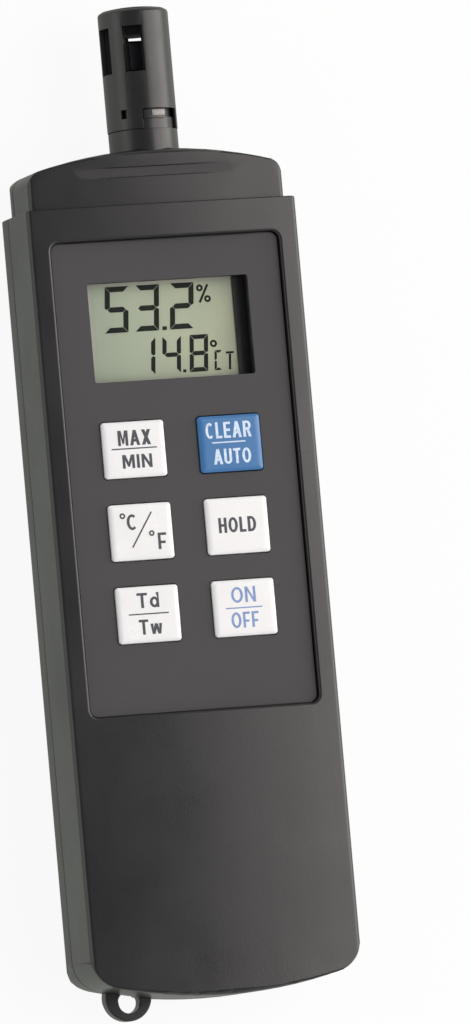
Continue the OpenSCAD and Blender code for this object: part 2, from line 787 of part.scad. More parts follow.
module battery() color("#3b3d40") place() {
  difference() {
    union() {
      translate([0, cell_y1, cell_z]) rotate([90, 0, 0]) linear_extrude(battery_len) round_rect(battery_w, battery_t, 1.8);
      bar_y(stud_r, cell_y1 - 0.5, cell_y1 + terminal_h, -terminal_pitch / 2, cell_z);
      bar_y(socket_r, cell_y1 - 0.5, cell_y1 + terminal_h, terminal_pitch / 2, cell_z);
    }
    bar_y(stud_r + seat, cell_y1 + 0.2, cell_y1 + terminal_h + over, terminal_pitch / 2, cell_z);
  }
}

module battery_snap() color("#1d1d1e") place() {
  difference() {
    union() {
      block([-snap_w / 2, snap_y, cell_z - snap_h / 2], [snap_w / 2, snap_y + snap_t, cell_z + snap_h / 2]);
      bar_y(socket_r, cell_y1 + 0.3, snap_y + 0.5, -terminal_pitch / 2, cell_z);
      bar_y(stud_r, cell_y1 + 0.3, snap_y + 0.5, terminal_pitch / 2, cell_z);
    }
    bar_y(stud_r + seat, cell_y1 + 0.2, snap_y, -terminal_pitch / 2, cell_z);
  }
}

// A lead from the snap connector to a soldered end under the main board
module lead(x) {
  bar_y(lead_r, snap_y + snap_t, lead_y1, x, lead_z);
  translate([x, lead_y1, lead_z]) sphere(lead_r);
  bar_z(lead_r, lead_z, board_z, x, lead_y1);
}

module red_lead() color("#b3202a") place() lead(lead_x);
module black_lead() color("#161616") place() lead(-lead_x);

module battery_door() color("#434344") place() {
  tongue_x = door_w / 2 + tongue - 2 * door_gap;
  difference() {
    union() {
      intersection() {
        envelope(door_z);
        block([-door_w / 2, -over, 0], [door_w / 2, door_y1, door_top]);
      }
      intersection() {
        envelope(wall);
        block([-tongue_x, 0, tongue_z], [tongue_x, door_y1, door_top]);
      }
      block([-tongue_x, corner_r, tongue_z], [tongue_x, door_y1, door_top]);
    }
    for (i = [0:3]) translate([0, door_y1 - 8 - 2 * i * grip_groove, 0])
      block([-grip_w / 2, 0, 0], [grip_w / 2, grip_groove, door_z + grip_depth]);
  }
}

foam_inset = 8;

module battery_foam() color("#2e2f31") place() {
  block([-foam_w / 2, cell_y0 + foam_inset, foam_z], [foam_w / 2, cell_y1 - foam_inset, foam_z + foam_t]);
}

module stand() color("#434344") place() {
  difference() {
    union() {
      translate([0, (stand_end_y + hinge_y) / 2, stand_z]) linear_extrude(stand_t)
        round_rect(stand_w, stand_len, 0.8);
      translate([-stand_w / 2, hinge_y, hinge_z]) rotate([0, 90, 0]) cylinder(r = barrel_r, h = stand_w);
      translate([-stand_w / 2 - trunnion_len, hinge_y, hinge_z]) rotate([0, 90, 0])
        cylinder(r = trunnion_r, h = stand_w + 2 * trunnion_len);
    }
    difference() {
      translate([0, stand_end_y + stand_bar + stand_window_len / 2, 0]) linear_extrude(2 * stand_t + over)
        round_rect(stand_w - 2 * stand_rail, stand_window_len, 1.2);
      block([-stand_tab_w / 2, stand_end_y, 0], [stand_tab_w / 2, stand_end_y + stand_bar + stand_tab_h, 4 * stand_t]);
    }
  }
}

module case_screws() color("#8e9196") place() {
  for (p = case_posts) difference() {
    union() {
      bar_z(counterbore_r - 0.4, counterbore_z - 1.6, counterbore_z, p[0], p[1]);
      bar_z(case_screw_r, counterbore_z - 0.2, counterbore_z + case_screw_len, p[0], p[1]);
    }
    for (a = [0, 90]) translate([p[0], p[1], counterbore_z - 1.6]) rotate([0, 0, a]) cube([2.4, 0.5, 1.6], center = true);
  }
}

module board_screws() color("#8e9196") place() {
  for (p = board_posts) difference() {
    union() {
      bar_z(1.8, board_z - 1.3, board_z, p[0], p[1]);
      bar_z(board_screw_r, board_z - 0.2, board_z + board_screw_len, p[0], p[1]);
    }
    for (a = [0, 90]) translate([p[0], p[1], board_z - 1.3]) rotate([0, 0, a]) cube([1.9, 0.4, 1.2], center = true);
  }
}

rear_shell();
front_shell();
face_panel();
lcd_window();
lcd_frame();
lcd_cell();
contact_strips();
main_board();
controller_chip();
crystal();
capacitors();
keypad_mat();
key_max_min();
key_clear_auto();
key_unit();
key_hold();
key_dew_wet();
key_on_off();
probe_tube();
vent_sleeve();
sensor_board();
humidity_sensor();
temperature_sensor();
sensor_header();
battery();
battery_snap();
red_lead();
black_lead();
battery_door();
battery_foam();
stand();
case_screws();
board_screws();
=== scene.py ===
import math

import bmesh
import bpy
from mathutils import Matrix, Vector
from mathutils.bvhtree import BVHTree


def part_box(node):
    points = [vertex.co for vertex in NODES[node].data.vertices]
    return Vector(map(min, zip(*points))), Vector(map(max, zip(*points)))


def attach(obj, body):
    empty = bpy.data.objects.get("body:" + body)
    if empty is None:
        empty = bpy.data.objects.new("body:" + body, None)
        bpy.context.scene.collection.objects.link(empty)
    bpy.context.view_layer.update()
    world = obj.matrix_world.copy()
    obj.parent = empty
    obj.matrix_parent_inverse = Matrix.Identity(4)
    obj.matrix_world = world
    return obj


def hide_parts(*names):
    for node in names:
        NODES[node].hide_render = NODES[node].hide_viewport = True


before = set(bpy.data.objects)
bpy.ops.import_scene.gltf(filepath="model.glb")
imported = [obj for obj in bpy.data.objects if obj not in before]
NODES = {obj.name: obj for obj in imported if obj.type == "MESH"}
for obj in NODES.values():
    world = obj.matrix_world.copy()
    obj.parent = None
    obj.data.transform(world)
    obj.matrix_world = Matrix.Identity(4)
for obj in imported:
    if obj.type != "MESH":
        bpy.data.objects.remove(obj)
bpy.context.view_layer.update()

bl_info = {
    "name": "Thermo-hygrometer",
    "version": (1, 0, 0),
    "blender": (4, 5, 0),
    "location": "3D View > Sidebar > Hygrometer",
    "description": "Dresses a hand-held thermo-hygrometer: housing, display, keys, vented probe, stand and screws",
    "category": "Object",
}

MM = 0.001

KEYS = ("key_max_min", "key_clear_auto", "key_unit", "key_hold", "key_dew_wet", "key_on_off")

# What the display shows, in millimetres from the part's origin.
# Digits: their characters with their left edges, then the foot, width and height of the row
LARGE_DIGITS = ((("5", -11.95), ("3", -6.0), ("2", 0.75)), 33.28, 4.62, 8.65)
SMALL_DIGITS = ((("1", -6.45), ("4", -1.45), ("8", 3.85)), 25.1, 3.62, 6.95)
UNIT_LETTER = ((("C", 8.72),), 25.15, 1.5, 3.75)
UNIT_STROKE = 0.46
DIGIT_LEAN = math.radians(4.8)
DECIMAL_POINTS = (
    [(-0.75, 33.28), (0.12, 33.28), (0.19, 33.98), (-0.68, 33.98)],
    [(2.58, 25.12), (3.18, 25.12), (3.23, 25.7), (2.63, 25.7)],
)
# Strokes: both ends and the width. The letter T in two of them, and the bar of the percent sign
SIGN_STROKES = (
    ((11.2, 28.35), (12.75, 28.35), 0.4),
    ((11.98, 28.1), (11.75, 25.15), 0.46),
    ((6.95, 38.0), (8.75, 41.35), 0.44),
)
# Rings: middle, outer and inner radius. The degree sign, and the two rings of the percent sign
SIGN_RINGS = (((8.95, 30.2), 0.7, 0.28), ((7.15, 40.75), 0.66, 0.24), ((8.55, 38.65), 0.66, 0.24))
# How far the polariser film stays inside the display cell at its left side and at its other sides
FILM_LEFT, FILM_RIGHT, FILM_ENDS = 4.35, 2.0, 3.15

# Key legends, in millimetres from the middle of each key. Words: left, right, bottom and top
LEGEND_WORDS = {
    "key_max_min": (("MAX", -3.1, 3.3, 0.75, 3.6), ("MIN", -2.55, 3.15, -3.5, -0.95)),
    "key_clear_auto": (("CLEAR", -4.7, 4.2, 1.0, 4.0), ("AUTO", -3.55, 3.75, -3.85, -1.0)),
    "key_unit": (("C", -2.75, -0.7, 0.4, 3.35), ("F", 3.0, 4.65, -3.45, -0.4)),
    "key_hold": (("HOLD", -3.75, 3.55, -1.3, 1.55),),
    "key_dew_wet": (("Td", -2.1, 2.15, 1.2, 4.0), ("Tw", -2.1, 2.35, -3.75, -0.95)),
    "key_on_off": (("ON", -2.5, 2.25, 0.95, 3.9), ("OFF", -2.85, 2.5, -3.75, -0.8)),
}
# Rules between the words, and the slash of the unit key: both ends and the width
LEGEND_RULES = {
    "key_max_min": ((-4.45, 0.18), (4.35, 0.18), 0.24),
    "key_clear_auto": ((-3.6, 0.22), (2.9, 0.22), 0.24),
    "key_unit": ((-2.0, -2.85), (2.15, 3.6), 0.28),
    "key_dew_wet": ((-3.9, 0.08), (3.85, 0.08), 0.24),
    "key_on_off": ((-3.75, 0.0), (3.35, 0.0), 0.24),
}
# Degree signs: middle, outer and inner radius
LEGEND_RINGS = {"key_unit": (((-3.5, 3.1), 0.56, 0.24), ((1.9, -0.4), 0.54, 0.23))}
# Print spreads less on the blue key, and the power key's legend is lighter
LEGEND_WEIGHT = {"key_clear_auto": 0.94, "key_on_off": 0.9}

# Widths of the letters of the key legends, as shares of their height
LETTER_WIDTHS = {
    "A": 0.84, "C": 0.76, "D": 0.74, "E": 0.62, "F": 0.58, "H": 0.72, "I": 0.17, "L": 0.58, "M": 0.86,
    "N": 0.74, "O": 0.82, "R": 0.74, "T": 0.68, "U": 0.72, "X": 0.78, "d": 0.6, "w": 0.84,
}

# The lit segments of each character on the display
SEGMENTS = {"1": "bc", "2": "abged", "3": "abgcd", "4": "fgbc", "5": "afgcd", "8": "abcdefg", "C": "afed"}

# The probe, in millimetres: its axis above the rear face, the sensor chamber, and the pale patch on the stop lug,
# which is a painted highlight
PROBE_AXIS_Z = 12.505
CHAMBER_RADIUS, CHAMBER_START = 5.45, 74
LUG_HIGHLIGHT_RADIUS, LUG_HIGHLIGHT_START, LUG_HIGHLIGHT_END = 6.38, 73.3, 74.7
LUG_HIGHLIGHT_TURN = (1, 27)

# Length of the battery's plated end, in millimetres
BATTERY_END = 2.75

# Vertices closer than this are one, in metres
MERGE = 1e-6
# A CAD piece's faces are one face below the first angle, and its edges are rounded above the second.
# A finished piece is shaded smooth up to the third.
FLAT_ANGLE, ROUNDED_ANGLE, SMOOTH_ANGLE = math.radians(0.3), math.radians(35), math.radians(40)


def linear(hex_colour):
    """Turns an sRGB colour such as #4b4b4c into the linear values that Blender's shaders take."""
    parts = [int(hex_colour[i:i + 2], 16) / 255 for i in (1, 3, 5)]
    return tuple(c / 12.92 if c <= 0.04045 else ((c + 0.055) / 1.055) ** 2.4 for c in parts)


def colour_property(label, text, hex_colour):
    """A colour that the user can change, given as sRGB hex."""
    return bpy.props.FloatVectorProperty(name=label, description=text, subtype="COLOR", size=3,
                                         min=0.0, max=1.0, default=linear(hex_colour))


def size_property(label, text, millimetres, low, high):
    """A length that the user can change, given in millimetres."""
    return bpy.props.FloatProperty(name=label, description=text, default=millimetres * MM, min=low * MM,
                                   max=high * MM, precision=5, unit="LENGTH", subtype="DISTANCE")


class HygrometerSizes(bpy.types.PropertyGroup):
    """Sizes of the details that are finished in Blender"""
    case_edge: size_property("Case edge", "Radius of the moulded edges of the housing", 0.3, 0.05, 0.4)
    recess_edge: size_property("Recess edge", "Radius along the rim round the face panel", 0.55, 0.1, 0.7)
    panel_edge: size_property("Panel edge", "Rounding of the face panel's cut edge", 0.05, 0.02, 0.2)
    seam_edge: size_property("Seam edge", "Rounding of the edges of the stand and the door", 0.14, 0.03, 0.3)
    key_edge: size_property("Key edge", "Width of the rounded band along the top edge of a key", 1.0, 0.2, 1.1)
    key_fall: size_property("Key fall", "How far that band falls towards the side of the key", 0.45, 0.1, 0.6)
    legend_height: size_property("Legend height", "How far the printed legends stand up", 0.02, 0.005, 0.05)
    large_stroke: size_property("Large stroke", "Width of the large digits' segments", 1.0, 0.4, 1.2)
    small_stroke: size_property("Small stroke", "Width of the small digits' segments", 0.82, 0.3, 1.0)
    legend_stroke: size_property("Legend stroke", "Width of the strokes of the key legends", 0.53, 0.2, 0.8)
    case_grain: size_property("Case grain", "Spacing of the spark-eroded texture on the housing", 0.42, 0.1, 1.0)
    screw_turn: bpy.props.FloatProperty(
        name="Screw turn", description="How far each screw's recess is turned from the one before",
        default=math.radians(37), min=0.0, max=math.radians(90), unit="ROTATION", subtype="ANGLE")


class HygrometerColours(bpy.types.PropertyGroup):
    """Colours of the finishes"""
    case: colour_property("Case", "Textured charcoal housing", "#1b1b1c")
    panel: colour_property("Panel", "Dark grey face panel", "#383739")
    probe: colour_property("Probe", "Near-black vent sleeve and probe tube", "#191919")
    white_key: colour_property("White keys", "Off-white key caps", "#f1f2f2")
    blue_key: colour_property("Blue key", "Blue key cap", "#4076ac")
    legend: colour_property("Legend", "Dark legends on the white keys", "#43454c")
    blue_legend: colour_property("Blue legend", "Legend of the power key", "#7e98c8")
    pale_legend: colour_property("Pale legend", "Legend on the blue key", "#cfe0f6")
    display: colour_property("Display", "Reflector of the display", "#bbcbb3")
    digit: colour_property("Digits", "Switched-on segments", "#131c13")
    steel: colour_property("Screw steel", "Zinc-plated screws", "#9a9da2")


def sizes():
    return bpy.context.scene.hygrometer_sizes


def colours():
    return bpy.context.scene.hygrometer_colours


# ---------------------------------------------------------------- materials

def add_node(tree, kind, inputs=None, stops=(), **settings):
    """Adds one node with its settings, gives each named input a value or a link, and sets a ramp's stops."""
    node = tree.nodes.new(kind)
    for name, value in settings.items():
        setattr(node, name, value)
    for name, value in (inputs or {}).items():
        if isinstance(value, bpy.types.NodeSocket):
            tree.links.new(value, node.inputs[name])
        else:
            node.inputs[name].default_value = value
    if stops:
        elements = node.color_ramp.elements
        elements[0].position, elements[1].position = stops[0][0], stops[-1][0]
        for stop in stops[1:-1]:
            elements.new(stop[0])
        for element, (position, colour) in zip(elements, stops):
            element.color = (*colour, 1.0)
    return node


def new_material(name):
    """An empty node material, and object coordinates to place its patterns by."""
    material = bpy.data.materials.new(name)
    material.use_nodes = True
    tree = material.node_tree
    tree.nodes.clear()
    return material, tree, add_node(tree, "ShaderNodeTexCoord").outputs["Object"]


def shade(colour, factor):
    """A colour made lighter or darker."""
    return tuple(min(1.0, c * factor) for c in colour)


def moulded_plastic(name, colour, roughness, grain, depth, ior=1.5, patch=12, variation=0.08, spread=0.05):
    """Injection-moulded plastic: even colour with slow, faint blotches, and the grain that the mould leaves.

    grain and depth are the spacing and height of the texture, and patch the size of a blotch, in millimetres.
    variation and spread say how far colour and roughness drift between blotches."""
    material, tree, place = new_material(name)
    blotch = add_node(tree, "ShaderNodeTexNoise", {
        "Vector": place, "Scale": 1 / (patch * MM), "Detail": 3.0, "Roughness": 0.55})
    tint = add_node(tree, "ShaderNodeValToRGB", {"Fac": blotch.outputs["Fac"]},
                    ((0.3, shade(colour, 1 - variation)), (0.7, shade(colour, 1 + variation))))
    polish = add_node(tree, "ShaderNodeMapRange", {
        "Value": blotch.outputs["Fac"], "From Min": 0.3, "From Max": 0.7,
        "To Min": roughness - spread, "To Max": roughness + spread})
    fine = add_node(tree, "ShaderNodeTexNoise", {
        "Vector": place, "Scale": 1 / (grain * MM), "Detail": 2.0, "Roughness": 0.6})
    bump = add_node(tree, "ShaderNodeBump", {
        "Height": fine.outputs["Fac"], "Distance": depth * MM, "Strength": 1.0})
    surface = add_node(tree, "ShaderNodeBsdfPrincipled", {
        "Base Color": tint.outputs["Color"], "Roughness": polish.outputs["Result"],
        "IOR": ior, "Normal": bump.outputs["Normal"]})
    add_node(tree, "ShaderNodeOutputMaterial", {"Surface": surface.outputs["BSDF"]})
    return material


def textured_abs():
    """Black ABS, spark-eroded mould: fine even grain that breaks the gloss into a soft satin."""
    # Real grain is 0.1 to 0.2 mm, too fine to show here, so it is drawn at the coarser spacing of the property
    return moulded_plastic("textured_abs_charcoal", colours().case, 0.31, sizes().case_grain / MM, 0.012,
                           ior=1.52, patch=20)


def panel_polycarbonate():
    """Dark grey polycarbonate sheet with a matt hard coat: flatter and more even than the housing."""
    return moulded_plastic("matt_polycarbonate_panel", colours().panel, 0.55, 0.3, 0.006, patch=30, variation=0.05)


def probe_abs():
    """Near-black ABS from a polished mould: smooth, with soft highlights along the cylinder."""
    return moulded_plastic("satin_abs_probe", colours().probe, 0.33, 0.5, 0.003, ior=1.54, patch=6, variation=0.1)


def matt_shaded_inside():
    """The same ABS left rough from the mould in the sensor chamber, so that it throws no glints out through the
    vents; its darker colour is painted shade inside the chamber.
    """
    return moulded_plastic("matt_abs_inside_painted_shade", linear("#121212"), 0.85, 0.4, 0.02, patch=4)


def key_plastic(name, colour):
    """Polished ABS key cap, faintly dappled by handling: its rounded border throws a thin highlight."""
    return moulded_plastic(name, colour, 0.24, 0.6, 0.003, patch=5, variation=0.015, spread=0.04)


def printed_ink(name, colour):
    """Pad-printed ink: thin, dense and slightly glossier than the cap, with a faintly uneven cover."""
    material, tree, place = new_material(name)
    cover = add_node(tree, "ShaderNodeTexNoise", {"Vector": place, "Scale": 1 / (0.5 * MM), "Detail": 2.0})
    tint = add_node(tree, "ShaderNodeValToRGB", {"Fac": cover.outputs["Fac"]},
                    ((0.35, shade(colour, 0.9)), (0.65, shade(colour, 1.12))))
    surface = add_node(tree, "ShaderNodeBsdfPrincipled", {
        "Base Color": tint.outputs["Color"], "Roughness": 0.45, "IOR": 1.5})
    add_node(tree, "ShaderNodeOutputMaterial", {"Surface": surface.outputs["BSDF"]})
    return material


def display_reflector(name, colour, lit_colour):
    """Reflective twisted-nematic display: a matt grey-green reflector behind film, with painted shade at its left
    that fades unevenly into a lighter colour towards the right.
    """
    material, tree, place = new_material(name)
    axes = add_node(tree, "ShaderNodeSeparateXYZ", {"Vector": place})
    # Painted shade and light: the colour turns lighter from left to right, unevenly mottled
    drift = add_node(tree, "ShaderNodeMapRange", {
        "Value": axes.outputs["X"], "From Min": -15 * MM, "From Max": 15 * MM, "To Min": 0.0, "To Max": 1.0})
    mottle = add_node(tree, "ShaderNodeTexNoise", {"Vector": place, "Scale": 1 / (7 * MM), "Detail": 2.0})
    amount = add_node(tree, "ShaderNodeMath", {0: drift.outputs["Result"], 1: mottle.outputs["Fac"]},
                      operation="MULTIPLY")
    tint = add_node(tree, "ShaderNodeValToRGB", {"Fac": amount.outputs["Value"]}, ((0.0, colour), (0.75, lit_colour)))
    fine = add_node(tree, "ShaderNodeTexNoise", {"Vector": place, "Scale": 1 / (0.12 * MM), "Detail": 1.0})
    bump = add_node(tree, "ShaderNodeBump", {
        "Height": fine.outputs["Fac"], "Distance": 0.002 * MM, "Strength": 0.6})
    surface = add_node(tree, "ShaderNodeBsdfPrincipled", {
        "Base Color": tint.outputs["Color"], "Roughness": 0.4, "IOR": 1.45, "Normal": bump.outputs["Normal"]})
    add_node(tree, "ShaderNodeOutputMaterial", {"Surface": surface.outputs["BSDF"]})
    return material


def switched_segment():
    """Switched-on liquid crystal: near-black green under the glass."""
    material, tree, place = new_material("liquid_crystal_segment")
    uneven = add_node(tree, "ShaderNodeTexNoise", {"Vector": place, "Scale": 1 / (2 * MM), "Detail": 1.0})
    tint = add_node(tree, "ShaderNodeValToRGB", {"Fac": uneven.outputs["Fac"]},
                    ((0.35, shade(colours().digit, 0.85)), (0.65, shade(colours().digit, 1.3))))
    surface = add_node(tree, "ShaderNodeBsdfPrincipled", {
        "Base Color": tint.outputs["Color"], "Roughness": 0.4, "IOR": 1.45, "Specular IOR Level": 0.2})
    add_node(tree, "ShaderNodeOutputMaterial", {"Surface": surface.outputs["BSDF"]})
    return material


def clear_acrylic():
    """Clear acrylic window with a hard coat: nearly invisible face on, with a faint gloss and fine scratches.

    Its own colour is dark, so that the little that isn't let through doesn't lie on the digits as a haze."""
    material, tree, place = new_material("clear_acrylic_window")
    wipe = add_node(tree, "ShaderNodeMapping", {
        "Vector": place, "Scale": (1.0, 14.0, 1.0), "Rotation": (0.0, 0.0, 0.5)})
    scratch = add_node(tree, "ShaderNodeTexNoise", {
        "Vector": wipe.outputs["Vector"], "Scale": 1 / (3 * MM), "Detail": 4.0})
    polish = add_node(tree, "ShaderNodeMapRange", {
        "Value": scratch.outputs["Fac"], "From Min": 0.3, "From Max": 0.7, "To Min": 0.02, "To Max": 0.09})
    surface = add_node(tree, "ShaderNodeBsdfPrincipled", {
        "Base Color": (0.03, 0.035, 0.033, 1.0), "Roughness": polish.outputs["Result"], "IOR": 1.49, "Alpha": 0.08})
    add_node(tree, "ShaderNodeOutputMaterial", {"Surface": surface.outputs["BSDF"]})
    return material


def circuit_laminate(name, colour):
    """Glass-epoxy board under solder mask: glossy, with the paler network of tracks showing through the mask."""
    material, tree, place = new_material(name)
    tracks = add_node(tree, "ShaderNodeTexVoronoi", {"Vector": place, "Scale": 1 / (2.2 * MM)},
                      distance="MANHATTAN", feature="DISTANCE_TO_EDGE")
    edge = add_node(tree, "ShaderNodeValToRGB", {"Fac": tracks.outputs["Distance"]},
                    ((0.0, shade(colour, 1.9)), (0.06, colour)))
    edge.color_ramp.interpolation = "CONSTANT"
    bump = add_node(tree, "ShaderNodeBump", {
        "Height": edge.outputs["Color"], "Distance": 0.03 * MM, "Strength": 0.5})
    surface = add_node(tree, "ShaderNodeBsdfPrincipled", {
        "Base Color": edge.outputs["Color"], "Roughness": 0.3, "IOR": 1.52, "Normal": bump.outputs["Normal"]})
    add_node(tree, "ShaderNodeOutputMaterial", {"Surface": surface.outputs["BSDF"]})
    return material


def plated_metal(name, colour, roughness, brush):
    """Zinc or nickel plate on steel: bright metal with a fine uneven polish. brush is its grain in millimetres."""
    material, tree, place = new_material(name)
    streak = add_node(tree, "ShaderNodeMapping", {"Vector": place, "Scale": (1.0, 1.0, 6.0)})
    polish = add_node(tree, "ShaderNodeTexNoise", {
        "Vector": streak.outputs["Vector"], "Scale": 1 / (brush * MM), "Detail": 3.0})
    tint = add_node(tree, "ShaderNodeValToRGB", {"Fac": polish.outputs["Fac"]},
                    ((0.3, shade(colour, 0.85)), (0.7, shade(colour, 1.05))))
    rough = add_node(tree, "ShaderNodeMapRange", {
        "Value": polish.outputs["Fac"], "From Min": 0.3, "From Max": 0.7,
        "To Min": roughness - 0.06, "To Max": roughness + 0.08})
    bump = add_node(tree, "ShaderNodeBump", {
        "Height": polish.outputs["Fac"], "Distance": 0.003 * MM, "Strength": 0.7})
    surface = add_node(tree, "ShaderNodeBsdfPrincipled", {
        "Base Color": tint.outputs["Color"], "Metallic": 1.0,
        "Roughness": rough.outputs["Result"], "Normal": bump.outputs["Normal"]})
    add_node(tree, "ShaderNodeOutputMaterial", {"Surface": surface.outputs["BSDF"]})
    return material


def soft_rubber(name, colour, roughness, cell):
    """Silicone rubber or closed-cell foam: matt, with small cells or moulding marks, cell millimetres wide."""
    material, tree, place = new_material(name)
    cells = add_node(tree, "ShaderNodeTexVoronoi", {"Vector": place, "Scale": 1 / (cell * MM)})
    tint = add_node(tree, "ShaderNodeValToRGB", {"Fac": cells.outputs["Distance"]},
                    ((0.0, shade(colour, 0.8)), (1.0, shade(colour, 1.1))))
    bump = add_node(tree, "ShaderNodeBump", {
        "Height": cells.outputs["Distance"], "Distance": cell * MM * 0.12, "Strength": 0.6})
    surface = add_node(tree, "ShaderNodeBsdfPrincipled", {
        "Base Color": tint.outputs["Color"], "Roughness": roughness, "IOR": 1.43,
        "Sheen Weight": 0.1, "Normal": bump.outputs["Normal"]})
    add_node(tree, "ShaderNodeOutputMaterial", {"Surface": surface.outputs["BSDF"]})
    return material


# ---------------------------------------------------------------- mesh tools

def box_mm(node):
    """The least and greatest corner of a CAD node, in millimetres."""
    low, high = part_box(node)
    return low / MM, high / MM


def finish_piece(obj, body, material, replaces=()):
    """Gives a piece its material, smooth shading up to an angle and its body."""
    obj.data.materials.clear()
    obj.data.materials.append(material)
    for face in obj.data.polygons:
        face.use_smooth = True
    obj.data.set_sharp_from_angle(angle=SMOOTH_ANGLE)
    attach(obj, body)
    if replaces:
        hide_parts(*replaces)
    return obj


def weigh_normals(obj):
    """Keeps large faces flat where they meet rounded edges."""
    modifier = obj.modifiers.new("weigh_normals", "WEIGHTED_NORMAL")
    modifier.keep_sharp = True
    modifier.weight = 80
    return obj


def object_from(name, mesh_builder):
    """Makes an object from a filled bmesh and frees it."""
    mesh = bpy.data.meshes.new(name)
    mesh_builder.to_mesh(mesh)
    mesh_builder.free()
    # A copy of a CAD mesh brings fixed normals along, which would hide its new rounded edges
    if "custom_normal" in mesh.attributes:
        mesh.attributes.remove(mesh.attributes["custom_normal"])
    obj = bpy.data.objects.new(name, mesh)
    bpy.context.scene.collection.objects.link(obj)
    return obj


def outer_surface():
    """Everything that closes the housing from outside, to tell outer edges from inner ones."""
    build = bmesh.new()
    for node in ("front_shell", "rear_shell", "battery_door", "stand", "probe_tube", "vent_sleeve"):
        build.from_mesh(NODES[node].data)
    tree = BVHTree.FromBMesh(build)
    build.free()
    return tree


def every_edge(middle, outward):
    """The test that picks all sharp edges."""
    return True


def softened_copy(node, name, *rounds):
    """A copy of a moulded CAD piece, merged, with its sharp edges rounded.

    Each round has a radius in metres, a number of segments and a test that picks its edges by their
    middle in millimetres and their outward direction."""
    build = bmesh.new()
    build.from_mesh(NODES[node].data)
    bmesh.ops.remove_doubles(build, verts=build.verts, dist=MERGE)
    bmesh.ops.dissolve_degenerate(build, dist=MERGE, edges=build.edges)
    bmesh.ops.dissolve_limit(build, angle_limit=FLAT_ANGLE, use_dissolve_boundaries=False,
                             verts=build.verts, edges=build.edges, delimit={"NORMAL"})
    for radius, segments, pick in rounds:
        chosen = []
        for edge in build.edges:
            if not edge.is_manifold or not edge.is_convex or edge.calc_face_angle() < ROUNDED_ANGLE:
                continue
            middle = (edge.verts[0].co + edge.verts[1].co) / 2
            outward = (edge.link_faces[0].normal + edge.link_faces[1].normal).normalized()
            if pick(middle / MM, outward):
                chosen.append(edge)
        bmesh.ops.bevel(build, geom=chosen, offset=radius, offset_type="OFFSET", segments=segments,
                        profile=0.5, affect="EDGES", clamp_overlap=False, miter_outer="SHARP")
    return object_from(name, build)


def dressed_copy(node, name, body, slot, material, *rounds):
    """A rounded and finished copy that takes the place of a CAD node."""
    return weigh_normals(finish_piece(softened_copy(node, name, *rounds), body, material, (node,)))


def arc(cx, cy, rx, ry, start, end, steps=12):
    """Points on an elliptical arc between two angles in degrees."""
    angles = [math.radians(start + (end - start) * i / steps) for i in range(steps + 1)]
    return [(cx + rx * math.cos(a), cy + ry * math.sin(a)) for a in angles]


def rounded_rectangle(width, height, radius, steps=6):
    """Points round a rectangle with rounded corners, always as many for the same steps."""
    points = []
    for sx, sy, start in ((1, 1, 0), (-1, 1, 90), (-1, -1, 180), (1, -1, 270)):
        cx, cy = sx * (width / 2 - radius), sy * (height / 2 - radius)
        points += arc(cx, cy, radius, radius, start, start + 90, steps)
    return points


def loft(name, rings):
    """Skin through rings of equally many points, in millimetres, closed at both ends."""
    build = bmesh.new()
    rows = [[build.verts.new(Vector(p) * MM) for p in ring] for ring in rings]
    for low, high in zip(rows, rows[1:]):
        for i in range(len(low)):
            j = (i + 1) % len(low)
            build.faces.new((low[i], low[j], high[j], high[i]))
    build.faces.new(list(reversed(rows[0])))
    build.faces.new(rows[-1])
    bmesh.ops.recalc_face_normals(build, faces=build.faces)
    return object_from(name, build)


def add_plate(build, outline, low, high):
    """Adds a thin closed plate with the given outline, in millimetres, to a bmesh."""
    bottom = [build.verts.new((x * MM, y * MM, low * MM)) for x, y in outline]
    top = [build.verts.new((x * MM, y * MM, high * MM)) for x, y in outline]
    faces = [build.faces.new(list(reversed(bottom))), build.faces.new(top)]
    for i in range(len(outline)):
        j = (i + 1) % len(outline)
        faces.append(build.faces.new((bottom[i], bottom[j], top[j], top[i])))
    if sum(p[0] * q[1] - q[0] * p[1] for p, q in zip(outline, outline[1:] + outline[:1])) < 0:
        bmesh.ops.reverse_faces(build, faces=faces)


def add_ring_plate(build, centre, outer, inner, low, high, steps=20):
    """Adds a thin flat ring, such as a degree sign, in millimetres."""
    rows = []
    for radius, z in ((outer, low), (outer, high), (inner, high), (inner, low)):
        circle = arc(*centre, radius, radius, 0, 360, steps)[:-1]
        rows.append([build.verts.new((x * MM, y * MM, z * MM)) for x, y in circle])
    for low_row, high_row in zip(rows, rows[1:] + rows[:1]):
        for i in range(steps):
            j = (i + 1) % steps
            build.faces.new((low_row[i], low_row[j], high_row[j], high_row[i]))


def bar_outline(start, end, width):
    """Outline of a straight stroke between two points."""
    direction = Vector((end[0] - start[0], end[1] - start[1])).normalized()
    side = Vector((-direction.y, direction.x)) * width / 2
    a, b = Vector(start), Vector(end)
    return [tuple(a - side), tuple(b - side), tuple(b + side), tuple(a + side)]


